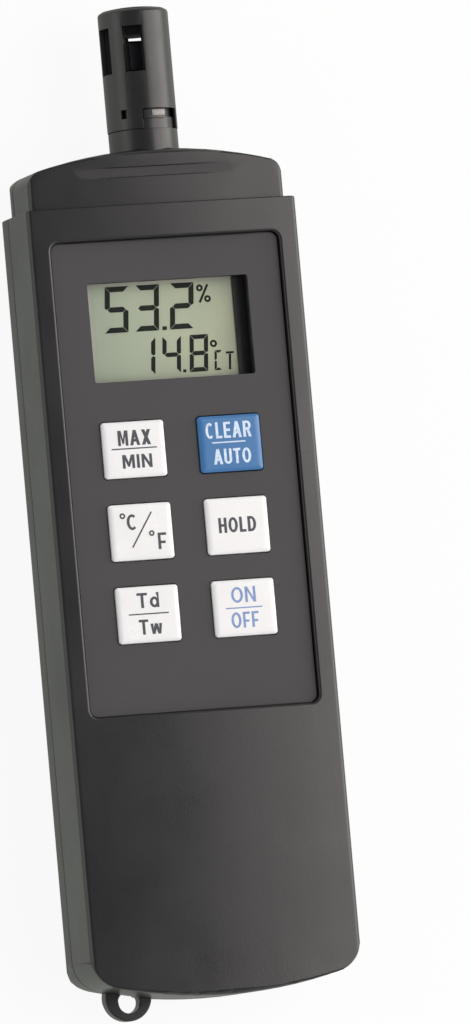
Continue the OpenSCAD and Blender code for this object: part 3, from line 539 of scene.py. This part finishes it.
def letter_loops(letter, w, h, s):
    """Outlines of one plain sans letter of width w, height h and stroke s: the outer loop, then any hole."""
    m, t = h / 2, 0.9 * s
    if letter == "I":
        return [[(0, 0), (w, 0), (w, h), (0, h)]]
    if letter == "L":
        return [[(0, 0), (w, 0), (w, t), (s, t), (s, h), (0, h)]]
    if letter == "T":
        a, b = (w - s) / 2, (w + s) / 2
        return [[(a, 0), (b, 0), (b, h - t), (w, h - t), (w, h), (0, h), (0, h - t), (a, h - t)]]
    if letter == "F":
        return [[(0, 0), (s, 0), (s, m - t), (0.86 * w, m - t), (0.86 * w, m), (s, m),
                 (s, h - t), (w, h - t), (w, h), (0, h)]]
    if letter == "E":
        return [[(0, 0), (w, 0), (w, t), (s, t), (s, m - t / 2), (0.92 * w, m - t / 2),
                 (0.92 * w, m + t / 2), (s, m + t / 2), (s, h - t), (w, h - t), (w, h), (0, h)]]
    if letter == "H":
        return [[(0, 0), (s, 0), (s, m - t / 2), (w - s, m - t / 2), (w - s, 0), (w, 0),
                 (w, h), (w - s, h), (w - s, m + t / 2), (s, m + t / 2), (s, h), (0, h)]]
    if letter == "N":
        drop = 1.75 * s
        return [[(0, 0), (s, 0), (s, h - drop), (w - s, 0), (w, 0),
                 (w, h), (w - s, h), (w - s, drop), (s, h), (0, h)]]
    if letter == "M":
        drop, valley = 1.9 * s, 0.12 * h
        return [[(0, 0), (s, 0), (s, h - drop), (w / 2 - 0.3 * s, valley), (w / 2 + 0.3 * s, valley),
                 (w - s, h - drop), (w - s, 0), (w, 0), (w, h), (w - 1.25 * s, h),
                 (w / 2, valley + 1.6 * s), (1.25 * s, h), (0, h)]]
    if letter == "A":
        q, bar = 1.1 * s, 0.24 * h
        k = (w - q) / 2 / h
        return [[(0, 0), (q, 0), (q + k * bar, bar), (w - q - k * bar, bar), (w - q, 0), (w, 0),
                 ((w + q) / 2, h), ((w - q) / 2, h)],
                [(q + k * (bar + t), bar + t), (w - q - k * (bar + t), bar + t), (w / 2, (w / 2 - q) / k)]]
    if letter == "X":
        q = 1.25 * s
        notch = (w / 2 - q) * h / (w - q)
        return [[(0, 0), (q, 0), (w / 2, notch), (w - q, 0), (w, 0), ((w + q) / 2, m),
                 (w, h), (w - q, h), (w / 2, h - notch), (q, h), (0, h), ((w - q) / 2, m)]]
    if letter == "C":
        return [arc(w / 2, m, w / 2, m, 48, 312, 24) + arc(w / 2, m, w / 2 - s, m - t, 312, 48, 24)]
    if letter == "O":
        return [arc(w / 2, m, w / 2, m, 0, 345, 23), arc(w / 2, m, w / 2 - s, m - t, 0, 345, 23)]
    if letter == "D":
        c = 0.42 * w
        return [[(0, 0)] + arc(c, m, w - c, m, -90, 90) + [(0, h)],
                [(s, t)] + arc(c, m, w - c - s, m - t, -90, 90) + [(s, h - t)]]
    if letter == "U":
        r = 0.5 * w
        return [[(0, h)] + arc(r, r, r, r, 180, 360) + [(w, h), (w - s, h)]
                + arc(r, r, r - s, r - t, 360, 180) + [(s, h)]]
    if letter == "R":
        low, c = 0.42 * h, 0.5 * w
        middle, bow = (low + h) / 2, (h - low) / 2
        return [[(0, 0), (s, 0), (s, low), (0.42 * w, low), (w - 1.15 * s, 0), (w, 0)]
                + arc(c, middle, w * 0.47, bow, -62, 90) + [(0, h)],
                [(s, low + t)] + arc(c, middle, w * 0.47 - s, bow - t, -90, 90) + [(s, h - t)]]
    if letter == "d":
        bowl = 0.36 * h
        return [[(w, 0), (w, h), (w - s, h)] + arc(w / 2, bowl, w / 2, bowl, 44, 316, 20) + [(w - s, 0)],
                arc(w / 2, bowl, w / 2 - s, bowl - t, 0, 345, 23)]
    if letter == "w":
        top, q, rise = 0.7 * h, 1.05 * s, 1.9 * s
        return [[(0, top), (w / 4 - q / 2, 0), (w / 4 + q / 2, 0), (w / 2, top - rise),
                 (3 * w / 4 - q / 2, 0), (3 * w / 4 + q / 2, 0), (w, top), (w - q, top),
                 (3 * w / 4, rise), (w / 2 + q / 2, top), (w / 2 - q / 2, top), (w / 4, rise), (q, top)]]
    raise RuntimeError("no outline for the letter " + letter)


def add_word(build, word, left, right, bottom, top, low, high, stroke):
    """Adds a word fitted to a box, as flat closed letters with an even stroke, all in millimetres."""
    height, gap = top - bottom, 0.15 * (top - bottom)
    natural = sum(LETTER_WIDTHS[letter] * height for letter in word) + gap * (len(word) - 1)
    stretch = (right - left) / natural
    curve = bpy.data.curves.new("word", "CURVE")
    curve.dimensions = "2D"
    curve.fill_mode = "BOTH"
    curve.extrude = (high - low) / 2
    at = left
    for letter in word:
        width = stroke if letter == "I" else LETTER_WIDTHS[letter] * height * stretch
        for loop in letter_loops(letter, width, height, stroke):
            spline = curve.splines.new("POLY")
            spline.points.add(len(loop) - 1)
            for point, (x, y) in zip(spline.points, loop):
                point.co = (at + x, bottom + y, 0.0, 1.0)
            spline.use_cyclic_u = True
        at += width + gap * stretch
    holder = bpy.data.objects.new("word", curve)
    bpy.context.scene.collection.objects.link(holder)
    bpy.context.view_layer.update()
    mesh = bpy.data.meshes.new_from_object(holder.evaluated_get(bpy.context.evaluated_depsgraph_get()))
    bpy.data.objects.remove(holder)
    bpy.data.curves.remove(curve)
    for v in mesh.vertices:
        v.co = (v.co + Vector((0.0, 0.0, (low + high) / 2))) * MM
    build.from_mesh(mesh)
    bpy.data.meshes.remove(mesh)


def segment_outlines(characters, bottom, width, height, stroke, gap=0.05):
    """The lit segments of a row of seven-segment characters, as outlines with mitred ends."""
    half = height / 2
    s = stroke
    bars = {
        "a": [(gap, height), (width - gap, height), (width - s - gap, height - s), (s + gap, height - s)],
        "d": [(gap, 0), (s + gap, s), (width - s - gap, s), (width - gap, 0)],
        "g": [(s / 2 + gap, half), (s + gap, half + s / 2), (width - s - gap, half + s / 2),
              (width - s / 2 - gap, half), (width - s - gap, half - s / 2), (s + gap, half - s / 2)],
        "f": [(0, height - gap), (s, height - s - gap), (s, half + s / 2 + gap), (s / 2, half + gap),
              (0, half + gap + s / 4)],
        "e": [(0, gap), (s, s + gap), (s, half - s / 2 - gap), (s / 2, half - gap), (0, half - gap - s / 4)],
    }
    # The right-hand segments mirror the left-hand ones
    for right, left in (("b", "f"), ("c", "e")):
        bars[right] = [(width - x, y) for x, y in bars[left]]
    lean = math.tan(DIGIT_LEAN)
    return [[(left + x + y * lean, bottom + y) for x, y in bars[name]]
            for character, left in characters for name in SEGMENTS[character]]


# ---------------------------------------------------------------- operators

class HYGRO_OT_stage(bpy.types.Operator):
    """Sets the floor, the studio lights and the camera"""
    bl_idname = "hygrometer.stage"
    bl_label = "Stage"

    def execute(self, context):
        self.lay_floor()
        self.light_room(context.scene)
        self.set_lamps(context.scene)
        self.set_camera(context.scene)
        context.scene.view_settings.view_transform = "Standard"
        return {"FINISHED"}

    def lay_floor(self):
        """White paper: mostly its own white, so that the ground stays pale, with the object's shadow on it.

        From below it is clear, so that the back of the object can be looked at."""
        build = bmesh.new()
        bmesh.ops.create_grid(build, x_segments=1, y_segments=1, size=3.0)
        floor = object_from("floor", build)
        for v in floor.data.vertices:
            v.co.z = -0.1 * MM
        material, tree, place = new_material("white_paper_floor")
        fibre = add_node(tree, "ShaderNodeTexNoise", {"Vector": place, "Scale": 1 / (0.8 * MM), "Detail": 2.0})
        tint = add_node(tree, "ShaderNodeMapRange", {
            "Value": fibre.outputs["Fac"], "To Min": 0.84, "To Max": 0.87})
        paper = add_node(tree, "ShaderNodeBsdfDiffuse", {"Color": tint.outputs["Result"]})
        glow = add_node(tree, "ShaderNodeEmission", {"Color": (1.0, 1.0, 1.0, 1.0), "Strength": 1.0})
        sheet = add_node(tree, "ShaderNodeMixShader", {
            0: 0.92, 1: paper.outputs["BSDF"], 2: glow.outputs["Emission"]})
        clear = add_node(tree, "ShaderNodeBsdfTransparent")
        side = add_node(tree, "ShaderNodeNewGeometry")
        mix = add_node(tree, "ShaderNodeMixShader", {
            0: side.outputs["Backfacing"], 1: sheet.outputs["Shader"], 2: clear.outputs["BSDF"]})
        add_node(tree, "ShaderNodeOutputMaterial", {"Surface": mix.outputs["Shader"]})
        floor.data.materials.append(material)
        # The white of the floor reaches the object from the lower half of the world instead
        floor.visible_diffuse = floor.visible_glossy = floor.visible_transmission = floor.visible_shadow = False

    def light_room(self, scene):
        """The room: white paper below and round the horizon, less so right under the object, and a dim ceiling."""
        world = bpy.data.worlds.new("studio")
        world.use_nodes = True
        scene.world = world
        tree = world.node_tree
        tree.nodes.clear()
        ray = add_node(tree, "ShaderNodeLightPath")
        way = add_node(tree, "ShaderNodeTexCoord")
        axes = add_node(tree, "ShaderNodeSeparateXYZ", {"Vector": way.outputs["Generated"]})
        height = add_node(tree, "ShaderNodeMapRange", {
            "Value": axes.outputs["Z"], "From Min": -1.0, "From Max": 1.0})
        bands = add_node(tree, "ShaderNodeValToRGB", {"Fac": height.outputs["Result"]}, (
            (0.0, (0.44, 0.46, 0.42)), (0.3, (0.9, 0.92, 0.85)),
            (0.64, (1.0, 1.0, 0.96)), (0.82, (0.28, 0.27, 0.3))))
        room = add_node(tree, "ShaderNodeBackground", {"Color": bands.outputs["Color"], "Strength": 1.0})
        white = add_node(tree, "ShaderNodeBackground", {"Color": (1.0, 1.0, 1.0, 1.0), "Strength": 1.0})
        seen = add_node(tree, "ShaderNodeMath", {
            0: ray.outputs["Is Camera Ray"], 1: ray.outputs["Is Transmission Ray"]}, operation="MAXIMUM")
        mix = add_node(tree, "ShaderNodeMixShader", {
            0: seen.outputs["Value"], 1: room.outputs["Background"], 2: white.outputs["Background"]})
        add_node(tree, "ShaderNodeOutputWorld", {"Surface": mix.outputs["Shader"]})

    def set_lamps(self, scene):
        """A large lamp bent round the right-hand side, in two panels, and a weak one low on the left."""
        # Name, place in metres, size along the object and across it, watts, colour
        for name, place, size, power, colour in (
            ("softbox_upper", (0.545, 0.05, 0.839), (1.0, 0.48), 4.7, "#fff9f4"),
            ("softbox_side", (0.92, 0.05, 0.39), (0.9, 0.74), 7.4, "#fff9f4"),
            ("softbox_left", (-0.95, 0.0, 0.28), (1.2, 0.45), 1.2, "#fbfbf4"),
        ):
            lamp = bpy.data.lights.new(name, "AREA")
            lamp.shape = "RECTANGLE"
            lamp.size, lamp.size_y = size
            lamp.energy = power
            lamp.color = linear(colour)
            holder = bpy.data.objects.new(name, lamp)
            holder.location = place
            holder.rotation_euler = Vector(place).to_track_quat("Z", "Y").to_euler()
            holder.visible_camera = False
            scene.collection.objects.link(holder)

    def set_camera(self, scene):
        """The photograph's camera, fitted to the corners of the face panel."""
        camera = bpy.data.cameras.new("camera")
        camera.sensor_fit = "VERTICAL"
        camera.sensor_height = 24.0
        camera.lens = 250.29
        camera.clip_end = 20.0
        view = bpy.data.objects.new("camera", camera)
        right = Vector((0.954325, -0.087028, 0.285813))
        up = Vector((0.064391, 0.994065, 0.087684))
        back = Vector((-0.291748, -0.065276, 0.954265))
        place = Matrix.Translation((-0.57112, -0.13167, 1.91853))
        view.matrix_world = place @ Matrix((right, up, back)).transposed().to_4x4()
        scene.collection.objects.link(view)
        scene.camera = view


class HYGRO_OT_housing(bpy.types.Operator):
    """Finishes the two shells of the housing"""
    bl_idname = "hygrometer.housing"
    bl_label = "Housing"

    def execute(self, context):
        surface = outer_surface()
        plastic = textured_abs()
        low, high = box_mm("face_panel")
        # How far beyond the panel the rim of its recess is looked for, in millimetres
        around = 0.9

        def at_recess(middle):
            return (low.x - around < middle.x < high.x + around and low.y - around < middle.y < high.y + around
                    and middle.z > low.z)

        def outside(middle, outward):
            start = middle * MM + outward * 0.1 * MM
            return surface.ray_cast(start, outward, 0.5)[0] is None

        def rim(middle, outward):
            return at_recess(middle) and outside(middle, outward)

        def elsewhere(middle, outward):
            return not at_recess(middle) and outside(middle, outward)

        edges = (sizes().case_edge, 2, elsewhere)
        dressed_copy("front_shell", "front_shell_moulding", "housing", "case", plastic,
                     (sizes().recess_edge, 4, rim), edges)
        dressed_copy("rear_shell", "rear_shell_moulding", "housing", "case", plastic, edges)
        return {"FINISHED"}


class HYGRO_OT_panel(bpy.types.Operator):
    """Finishes the face panel"""
    bl_idname = "hygrometer.panel"
    bl_label = "Face panel"

    def execute(self, context):
        # Only the edges round its face show, and the rest stays as it was cut
        face = box_mm("face_panel")[1].z
        dressed_copy("face_panel", "face_panel_sheet", "housing", "panel", panel_polycarbonate(),
                     (sizes().panel_edge, 2, lambda middle, outward: middle.z > face - 0.05))
        return {"FINISHED"}


class HYGRO_OT_display(bpy.types.Operator):
    """Makes the display: cell, polariser, digits, frame and clear window"""
    bl_idname = "hygrometer.display"
    bl_label = "Display"

    def execute(self, context):
        low, high = box_mm("lcd_cell")
        margin = display_reflector("display_glass_margin", linear("#c6cbba"), linear("#cfd2bd"))
        dressed_copy("lcd_cell", "display_glass", "housing", "display_cell", margin, (0.12 * MM, 2, every_edge))

        build = bmesh.new()
        left, right = low.x + FILM_LEFT, high.x - FILM_RIGHT
        foot, head = low.y + FILM_ENDS, high.y - FILM_ENDS
        add_plate(build, [(left, foot), (right, foot), (right, head), (left, head)], high.z + 0.002, high.z + 0.018)
        film = object_from("polariser_film", build)
        finish_piece(film, "housing",
                     display_reflector("polariser_film", colours().display, linear("#dbdfbc")))

        outlines = [bar_outline(*stroke) for stroke in SIGN_STROKES] + list(DECIMAL_POINTS)
        for row, stroke in ((LARGE_DIGITS, sizes().large_stroke / MM), (SMALL_DIGITS, sizes().small_stroke / MM),
                            (UNIT_LETTER, UNIT_STROKE)):
            outlines += segment_outlines(*row, stroke)
        build = bmesh.new()
        ink_low, ink_high = high.z + 0.02, high.z + 0.034
        for outline in outlines:
            add_plate(build, outline, ink_low, ink_high)
        for centre, outer, inner in SIGN_RINGS:
            add_ring_plate(build, centre, outer, inner, ink_low, ink_high)
        digits = object_from("display_digits", build)
        finish_piece(digits, "housing", switched_segment())

        # The black frame is partly a real bezel; its wide right rail is partly a painted shadow of the well's right
        # wall
        dressed_copy("lcd_frame", "display_frame", "housing", "black_frame",
                     moulded_plastic("black_abs_frame_painted_shadow", linear("#161617"), 0.5, 0.4, 0.006),
                     (0.1 * MM, 2, every_edge))
        dressed_copy("lcd_window", "display_window", "housing", "clear_window", clear_acrylic(),
                     (0.08 * MM, 2, every_edge))
        return {"FINISHED"}


class HYGRO_OT_keys(bpy.types.Operator):
    """Makes the six keys with their legends"""
    bl_idname = "hygrometer.keys"
    bl_label = "Keys"

    def execute(self, context):
        white = key_plastic("satin_abs_white", colours().white_key)
        blue = key_plastic("satin_abs_blue", colours().blue_key)
        dark_ink = printed_ink("ink_dark_grey", colours().legend)
        blue_ink = printed_ink("ink_blue_grey", colours().blue_legend)
        pale_ink = printed_ink("ink_pale_blue", colours().pale_legend)
        for node in KEYS:
            plastic, slot = (blue, "blue_key") if node == "key_clear_auto" else (white, "white_key")
            ink = {"key_clear_auto": pale_ink, "key_on_off": blue_ink}.get(node, dark_ink)
            cap = loft(node + "_cap_moulding", self.cap_rings(node))
            weigh_normals(finish_piece(cap, node + "_cap", plastic, (node,)))
            finish_piece(self.make_legend(node), node + "_cap", ink)
        return {"FINISHED"}

    def cap_rings(self, node):
        """One key cap from below: stem, flange behind the deck, sides and a softly rounded top."""
        low, high = box_mm(node)
        cx, cy = (low.x + high.x) / 2, (low.y + high.y) / 2
        stem, stem_corner = 5.0, 0.5
        flange, flange_corner = 1.0, 0.5
        flange_low, flange_high = low.z + 0.7, low.z + 1.6
        full_w, full_h = high.x - low.x, high.y - low.y
        width, height = full_w - 2 * flange, full_h - 2 * flange
        edge, fall, corner, least = sizes().key_edge / MM, sizes().key_fall / MM, 0.6, 0.25
        # Width, height, corner radius and level of each ring
        rows = [
            (stem - 0.2, stem - 0.2, stem_corner - 0.1, low.z),
            (stem, stem, stem_corner, low.z + 0.1),
            (stem, stem, stem_corner, flange_low),
            (full_w - 0.1, full_h - 0.1, flange_corner, flange_low),
            (full_w, full_h, flange_corner, flange_low + 0.08),
            (full_w, full_h, flange_corner, flange_high - 0.08),
            (full_w - 0.1, full_h - 0.1, flange_corner, flange_high),
            (width, height, corner, flange_high),
            (width, height, corner, flange_high + 0.1),
        ]
        for i in range(9):
            a = math.radians(90 * i / 8)
            inset = edge * (1 - math.cos(a))
            rows.append((width - 2 * inset, height - 2 * inset, max(corner - inset, least),
                         high.z - fall * (1 - math.sin(a))))
        rows.append((width - 2 * edge - 0.4, height - 2 * edge - 0.4, least, high.z))
        return [[(cx + x, cy + y, z) for x, y in rounded_rectangle(w, h, r)] for w, h, r, z in rows]

    def make_legend(self, node):
        """The printed legend of one key, in generic words and signs."""
        corner, far = box_mm(node)
        cx, cy = (corner.x + far.x) / 2, (corner.y + far.y) / 2
        # Just off the cap's top, so that the two faces don't flicker
        low = far.z + 0.001
        high = low + sizes().legend_height / MM
        stroke = sizes().legend_stroke / MM * LEGEND_WEIGHT.get(node, 1.0)
        build = bmesh.new()
        for text, left, right, bottom, top in LEGEND_WORDS[node]:
            add_word(build, text, cx + left, cx + right, cy + bottom, cy + top, low, high, stroke)
        if node in LEGEND_RULES:
            (x0, y0), (x1, y1), width = LEGEND_RULES[node]
            add_plate(build, bar_outline((cx + x0, cy + y0), (cx + x1, cy + y1), width), low, high)
        for (x, y), outer, inner in LEGEND_RINGS.get(node, ()):
            add_ring_plate(build, (cx + x, cy + y), outer, inner, low, high)
        bmesh.ops.remove_doubles(build, verts=build.verts, dist=MERGE)
        bmesh.ops.recalc_face_normals(build, faces=build.faces)
        return object_from(node + "_legend", build)


class HYGRO_OT_probe(bpy.types.Operator):
    """Finishes the vent sleeve and the fixed probe tube"""
    bl_idname = "hygrometer.probe"
    bl_label = "Probe"

    def execute(self, context):
        plastic = probe_abs()
        edges = (0.1 * MM, 2, every_edge)
        dressed_copy("vent_sleeve", "vent_sleeve_moulding", "sleeve", "probe_outer", plastic, edges)
        self.dress_tube(dressed_copy("probe_tube", "probe_tube_moulding", "housing", "probe_inner", plastic, edges))
        return {"FINISHED"}

    def dress_tube(self, tube):
        """Leaves the inside of the sensor chamber matt and darker, the darkness painted shade, and paints a pale
        patch on the stop lug as a painted highlight.
        """
        # Rough ABS inside the chamber, painted darker than the probe as painted shade
        tube.data.materials.append(matt_shaded_inside())
        # The pale grey patch on the stop lug is a painted highlight
        tube.data.materials.append(printed_ink("painted_lug_highlight", linear("#8e8e8b")))
        for face in tube.data.polygons:
            x, y, z = face.center / MM
            radius, turn = math.hypot(x, z - PROBE_AXIS_Z), math.degrees(math.atan2(x, z - PROBE_AXIS_Z))
            if radius < CHAMBER_RADIUS and y > CHAMBER_START:
                face.material_index = 1
            elif radius > LUG_HIGHLIGHT_RADIUS and LUG_HIGHLIGHT_START < y < LUG_HIGHLIGHT_END and LUG_HIGHLIGHT_TURN[0] < turn < LUG_HIGHLIGHT_TURN[1]:
                face.material_index = 2


class HYGRO_OT_rear(bpy.types.Operator):
    """Finishes the stand and the battery door"""
    bl_idname = "hygrometer.rear"
    bl_label = "Stand and door"

    def execute(self, context):
        plastic = textured_abs()
        edges = (sizes().seam_edge, 2, every_edge)
        dressed_copy("stand", "stand_moulding", "rear_stand", "case", plastic, edges)
        dressed_copy("battery_door", "battery_door_moulding", "door", "case", plastic, edges)
        return {"FINISHED"}


def screw_tree():
    """Geometry Nodes: a screw on each point, each turned a little further, realised and given its material."""
    tree = bpy.data.node_groups.new("screw_set", "GeometryNodeTree")
    for name, kind in (("Places", "Geometry"), ("Screw", "Object"), ("Turn step", "Float"), ("Finish", "Material")):
        tree.interface.new_socket(name, in_out="INPUT", socket_type="NodeSocket" + kind)
    tree.interface.new_socket("Screws", in_out="OUTPUT", socket_type="NodeSocketGeometry")
    given = add_node(tree, "NodeGroupInput")
    number = add_node(tree, "GeometryNodeInputIndex")
    turn = add_node(tree, "ShaderNodeMath", {0: number.outputs["Index"], 1: given.outputs["Turn step"]},
                    operation="MULTIPLY")
    angles = add_node(tree, "ShaderNodeCombineXYZ", {"Z": turn.outputs["Value"]})
    shape = add_node(tree, "GeometryNodeObjectInfo", {"Object": given.outputs["Screw"]})
    placed = add_node(tree, "GeometryNodeInstanceOnPoints", {
        "Points": given.outputs["Places"], "Instance": shape.outputs["Geometry"],
        "Rotation": angles.outputs["Vector"]})
    real = add_node(tree, "GeometryNodeRealizeInstances", {"Geometry": placed.outputs["Instances"]})
    dressed = add_node(tree, "GeometryNodeSetMaterial", {
        "Geometry": real.outputs["Geometry"], "Material": given.outputs["Finish"]})
    add_node(tree, "NodeGroupOutput", {"Screws": dressed.outputs["Geometry"]})
    return tree


class HYGRO_OT_screws(bpy.types.Operator):
    """Makes the case screws and the board screws"""
    bl_idname = "hygrometer.screws"
    bl_label = "Screws"

    def execute(self, context):
        steel = plated_metal("zinc_plated_steel", colours().steel, 0.3, 0.5)
        tree = screw_tree()
        # Node, piece, then in millimetres: head radius and height, shank radius, arm and half width of the recess
        for node, name, *shape in (("case_screws", "case_screw_set", 2.3, 1.6, 1.3, 1.45, 0.3),
                                   ("board_screws", "board_screw_set", 1.8, 1.3, 1.0, 1.1, 0.24)):
            low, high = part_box(node)
            master = loft(name + "_master", self.screw_rings(*shape, (high.z - low.z) / MM))
            mesh = bpy.data.meshes.new(name + "_places")
            mesh.from_pydata([(x, y, low.z) for x, y in self.places(node)], [], [])
            holder = bpy.data.objects.new(name + "_places", mesh)
            context.scene.collection.objects.link(holder)
            modifier = holder.modifiers.new("screws", "NODES")
            modifier.node_group = tree
            values = {"Screw": master, "Turn step": sizes().screw_turn, "Finish": steel}
            for item in tree.interface.items_tree:
                if item.item_type == "SOCKET" and item.in_out == "INPUT" and item.name in values:
                    modifier[item.identifier] = values[item.name]
            context.view_layer.update()
            result = bpy.data.meshes.new_from_object(holder.evaluated_get(context.evaluated_depsgraph_get()))
            bpy.data.objects.remove(holder)
            bpy.data.objects.remove(master)
            if not result.polygons:
                raise RuntimeError("the screw set came out empty")
            screws = bpy.data.objects.new(name, result)
            context.scene.collection.objects.link(screws)
            weigh_normals(finish_piece(screws, "housing", steel, (node,)))
        return {"FINISHED"}

    def places(self, node):
        """The middle of each separate screw of a CAD node, in metres."""
        build = bmesh.new()
        build.from_mesh(NODES[node].data)
        bmesh.ops.remove_doubles(build, verts=build.verts, dist=MERGE)
        left = set(build.verts)
        middles = []
        while left:
            group, front = set(), [left.pop()]
            while front:
                v = front.pop()
                group.add(v)
                for e in v.link_edges:
                    w = e.other_vert(v)
                    if w in left:
                        left.discard(w)
                        front.append(w)
            xs, ys = [v.co.x for v in group], [v.co.y for v in group]
            middles.append(((min(xs) + max(xs)) / 2, (min(ys) + max(ys)) / 2))
        build.free()
        return sorted(middles)

    def screw_rings(self, head_r, head_h, shank_r, slot_l, slot_w, length):
        """A pan-head tapping screw, head down, with a cross recess and a coarse thread."""
        steps = 48
        rings = []

        def circle(radius, z):
            rings.append([(x, y, z) for x, y in arc(0, 0, radius, radius, 0, 360, steps)[:-1]])

        def cross(long, half, z):
            row = []
            for i in range(steps):
                a = 2 * math.pi * (i + 0.5) / steps
                c, s = abs(math.cos(a)), abs(math.sin(a))
                r = min(long / max(c, s), half / min(c, s))
                row.append((r * math.cos(a), r * math.sin(a), z))
            rings.append(row)

        cross(slot_l * 0.35, slot_w * 0.45, head_h * 0.72)
        cross(slot_l * 0.7, slot_w * 0.8, head_h * 0.5)
        cross(slot_l, slot_w, 0.04)
        cross(slot_l + 0.04, slot_w + 0.04, 0.0)
        circle(head_r * 0.8, 0.0)
        circle(head_r * 0.92, head_h * 0.1)
        circle(head_r * 0.98, head_h * 0.3)
        circle(head_r, head_h * 0.55)
        circle(head_r, head_h - 0.05)
        circle(head_r - 0.05, head_h)
        circle(shank_r * 0.82, head_h)
        z, pitch = head_h + 0.3, 0.9
        while z + pitch < length - 0.8:
            for share, rise in ((0.8, 0.0), (0.98, 0.4), (0.98, 0.5), (0.8, 0.9)):
                circle(shank_r * share, z + pitch * rise)
            z += pitch
        circle(shank_r * 0.78, length - 0.7)
        circle(shank_r * 0.2, length)
        return rings


class HYGRO_OT_sensors(bpy.types.Operator):
    """Finishes the sensor board and the sensors in the probe"""
    bl_idname = "hygrometer.sensors"
    bl_label = "Sensors"

    def execute(self, context):
        # Node, piece, radius of its edges in millimetres, slot, material
        for node, name, radius, slot, material in (
            ("sensor_board", "sensor_board_laminate", 0.05, "sensor_circuit_board",
             circuit_laminate("black_solder_mask", linear("#0b0d0e"))),
            ("humidity_sensor", "humidity_sensor_body", 0.15, "sensor_can",
             moulded_plastic("grey_sensor_body", linear("#3b3d3f"), 0.3, 0.3, 0.004)),
            ("temperature_sensor", "temperature_sensor_bead", 0.05, "epoxy",
             moulded_plastic("black_epoxy_bead", linear("#1a1412"), 0.25, 0.4, 0.006)),
            ("sensor_header", "sensor_header_block", 0.06, "black_frame",
             moulded_plastic("black_header", linear("#151516"), 0.45, 0.3, 0.005)),
        ):
            dressed_copy(node, name, "housing", slot, material, (radius * MM, 2, every_edge))
        return {"FINISHED"}


class HYGRO_OT_inside(bpy.types.Operator):
    """Gives the parts inside the housing their finishes"""
    bl_idname = "hygrometer.inside"
    bl_label = "Inside"

    def execute(self, context):
        finishes = {
            "main_board": circuit_laminate("green_solder_mask", linear("#1c5a38")),
            "controller_chip": moulded_plastic("epoxy_blob", linear("#131315"), 0.22, 0.8, 0.01),
            "crystal": plated_metal("nickel_plated_can", linear("#b9bcc0"), 0.2, 0.4),
            "capacitors": moulded_plastic("sleeve_dark_blue", linear("#27304d"), 0.3, 0.5, 0.004),
            "contact_strips": soft_rubber("conductive_silicone", linear("#333333"), 0.7, 0.3),
            "keypad_mat": soft_rubber("grey_silicone_mat", linear("#8c8f92"), 0.6, 0.5),
            "battery_foam": soft_rubber("closed_cell_foam", linear("#2e2f31"), 0.9, 0.5),
            "red_lead": moulded_plastic("pvc_red", linear("#a31f26"), 0.4, 0.5, 0.004),
            "black_lead": moulded_plastic("pvc_black", linear("#151515"), 0.4, 0.5, 0.004),
            "battery_snap": moulded_plastic("black_pvc_snap", linear("#1b1b1c"), 0.4, 0.5, 0.006),
        }
        for node, material in finishes.items():
            NODES[node].data.materials.clear()
            NODES[node].data.materials.append(material)
        wrap = moulded_plastic("printed_steel_wrap", linear("#3a3c40"), 0.35, 0.8, 0.003)
        battery = softened_copy("battery", "block_battery", (0.3 * MM, 2, every_edge))
        finish_piece(battery, "housing", wrap, ("battery",))
        battery.data.materials.append(plated_metal("nickel_plate", linear("#b5b7ba"), 0.25, 0.6))
        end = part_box("battery")[1].y - BATTERY_END * MM
        for face in battery.data.polygons:
            face.material_index = 1 if face.center.y > end else 0
        return {"FINISHED"}


class HYGRO_PT_panel(bpy.types.Panel):
    """Lists the pieces of the instrument with their sizes and colours"""
    bl_idname = "HYGRO_PT_panel"
    bl_label = "Hygrometer"
    bl_space_type = "VIEW_3D"
    bl_region_type = "UI"
    bl_category = "Hygrometer"

    def draw(self, context):
        layout = self.layout
        for operator in OPERATORS:
            layout.operator(operator.bl_idname)
        for group in (context.scene.hygrometer_sizes, context.scene.hygrometer_colours):
            column = layout.column()
            for name in group.__annotations__:
                column.prop(group, name)


OPERATORS = (HYGRO_OT_stage, HYGRO_OT_housing, HYGRO_OT_panel, HYGRO_OT_display, HYGRO_OT_keys, HYGRO_OT_probe,
             HYGRO_OT_rear, HYGRO_OT_screws, HYGRO_OT_sensors, HYGRO_OT_inside)
CLASSES = (HygrometerSizes, HygrometerColours) + OPERATORS + (HYGRO_PT_panel,)


def register():
    for cls in CLASSES:
        bpy.utils.register_class(cls)
    bpy.types.Scene.hygrometer_sizes = bpy.props.PointerProperty(type=HygrometerSizes)
    bpy.types.Scene.hygrometer_colours = bpy.props.PointerProperty(type=HygrometerColours)


def unregister():
    del bpy.types.Scene.hygrometer_colours
    del bpy.types.Scene.hygrometer_sizes
    for cls in reversed(CLASSES):
        bpy.utils.unregister_class(cls)


def main():
    """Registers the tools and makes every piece."""
    register()
    bpy.ops.hygrometer.stage()
    bpy.ops.hygrometer.housing()
    bpy.ops.hygrometer.panel()
    bpy.ops.hygrometer.display()
    bpy.ops.hygrometer.keys()
    bpy.ops.hygrometer.probe()
    bpy.ops.hygrometer.rear()
    bpy.ops.hygrometer.screws()
    bpy.ops.hygrometer.sensors()
    bpy.ops.hygrometer.inside()


if __name__ == "__main__":
    main()
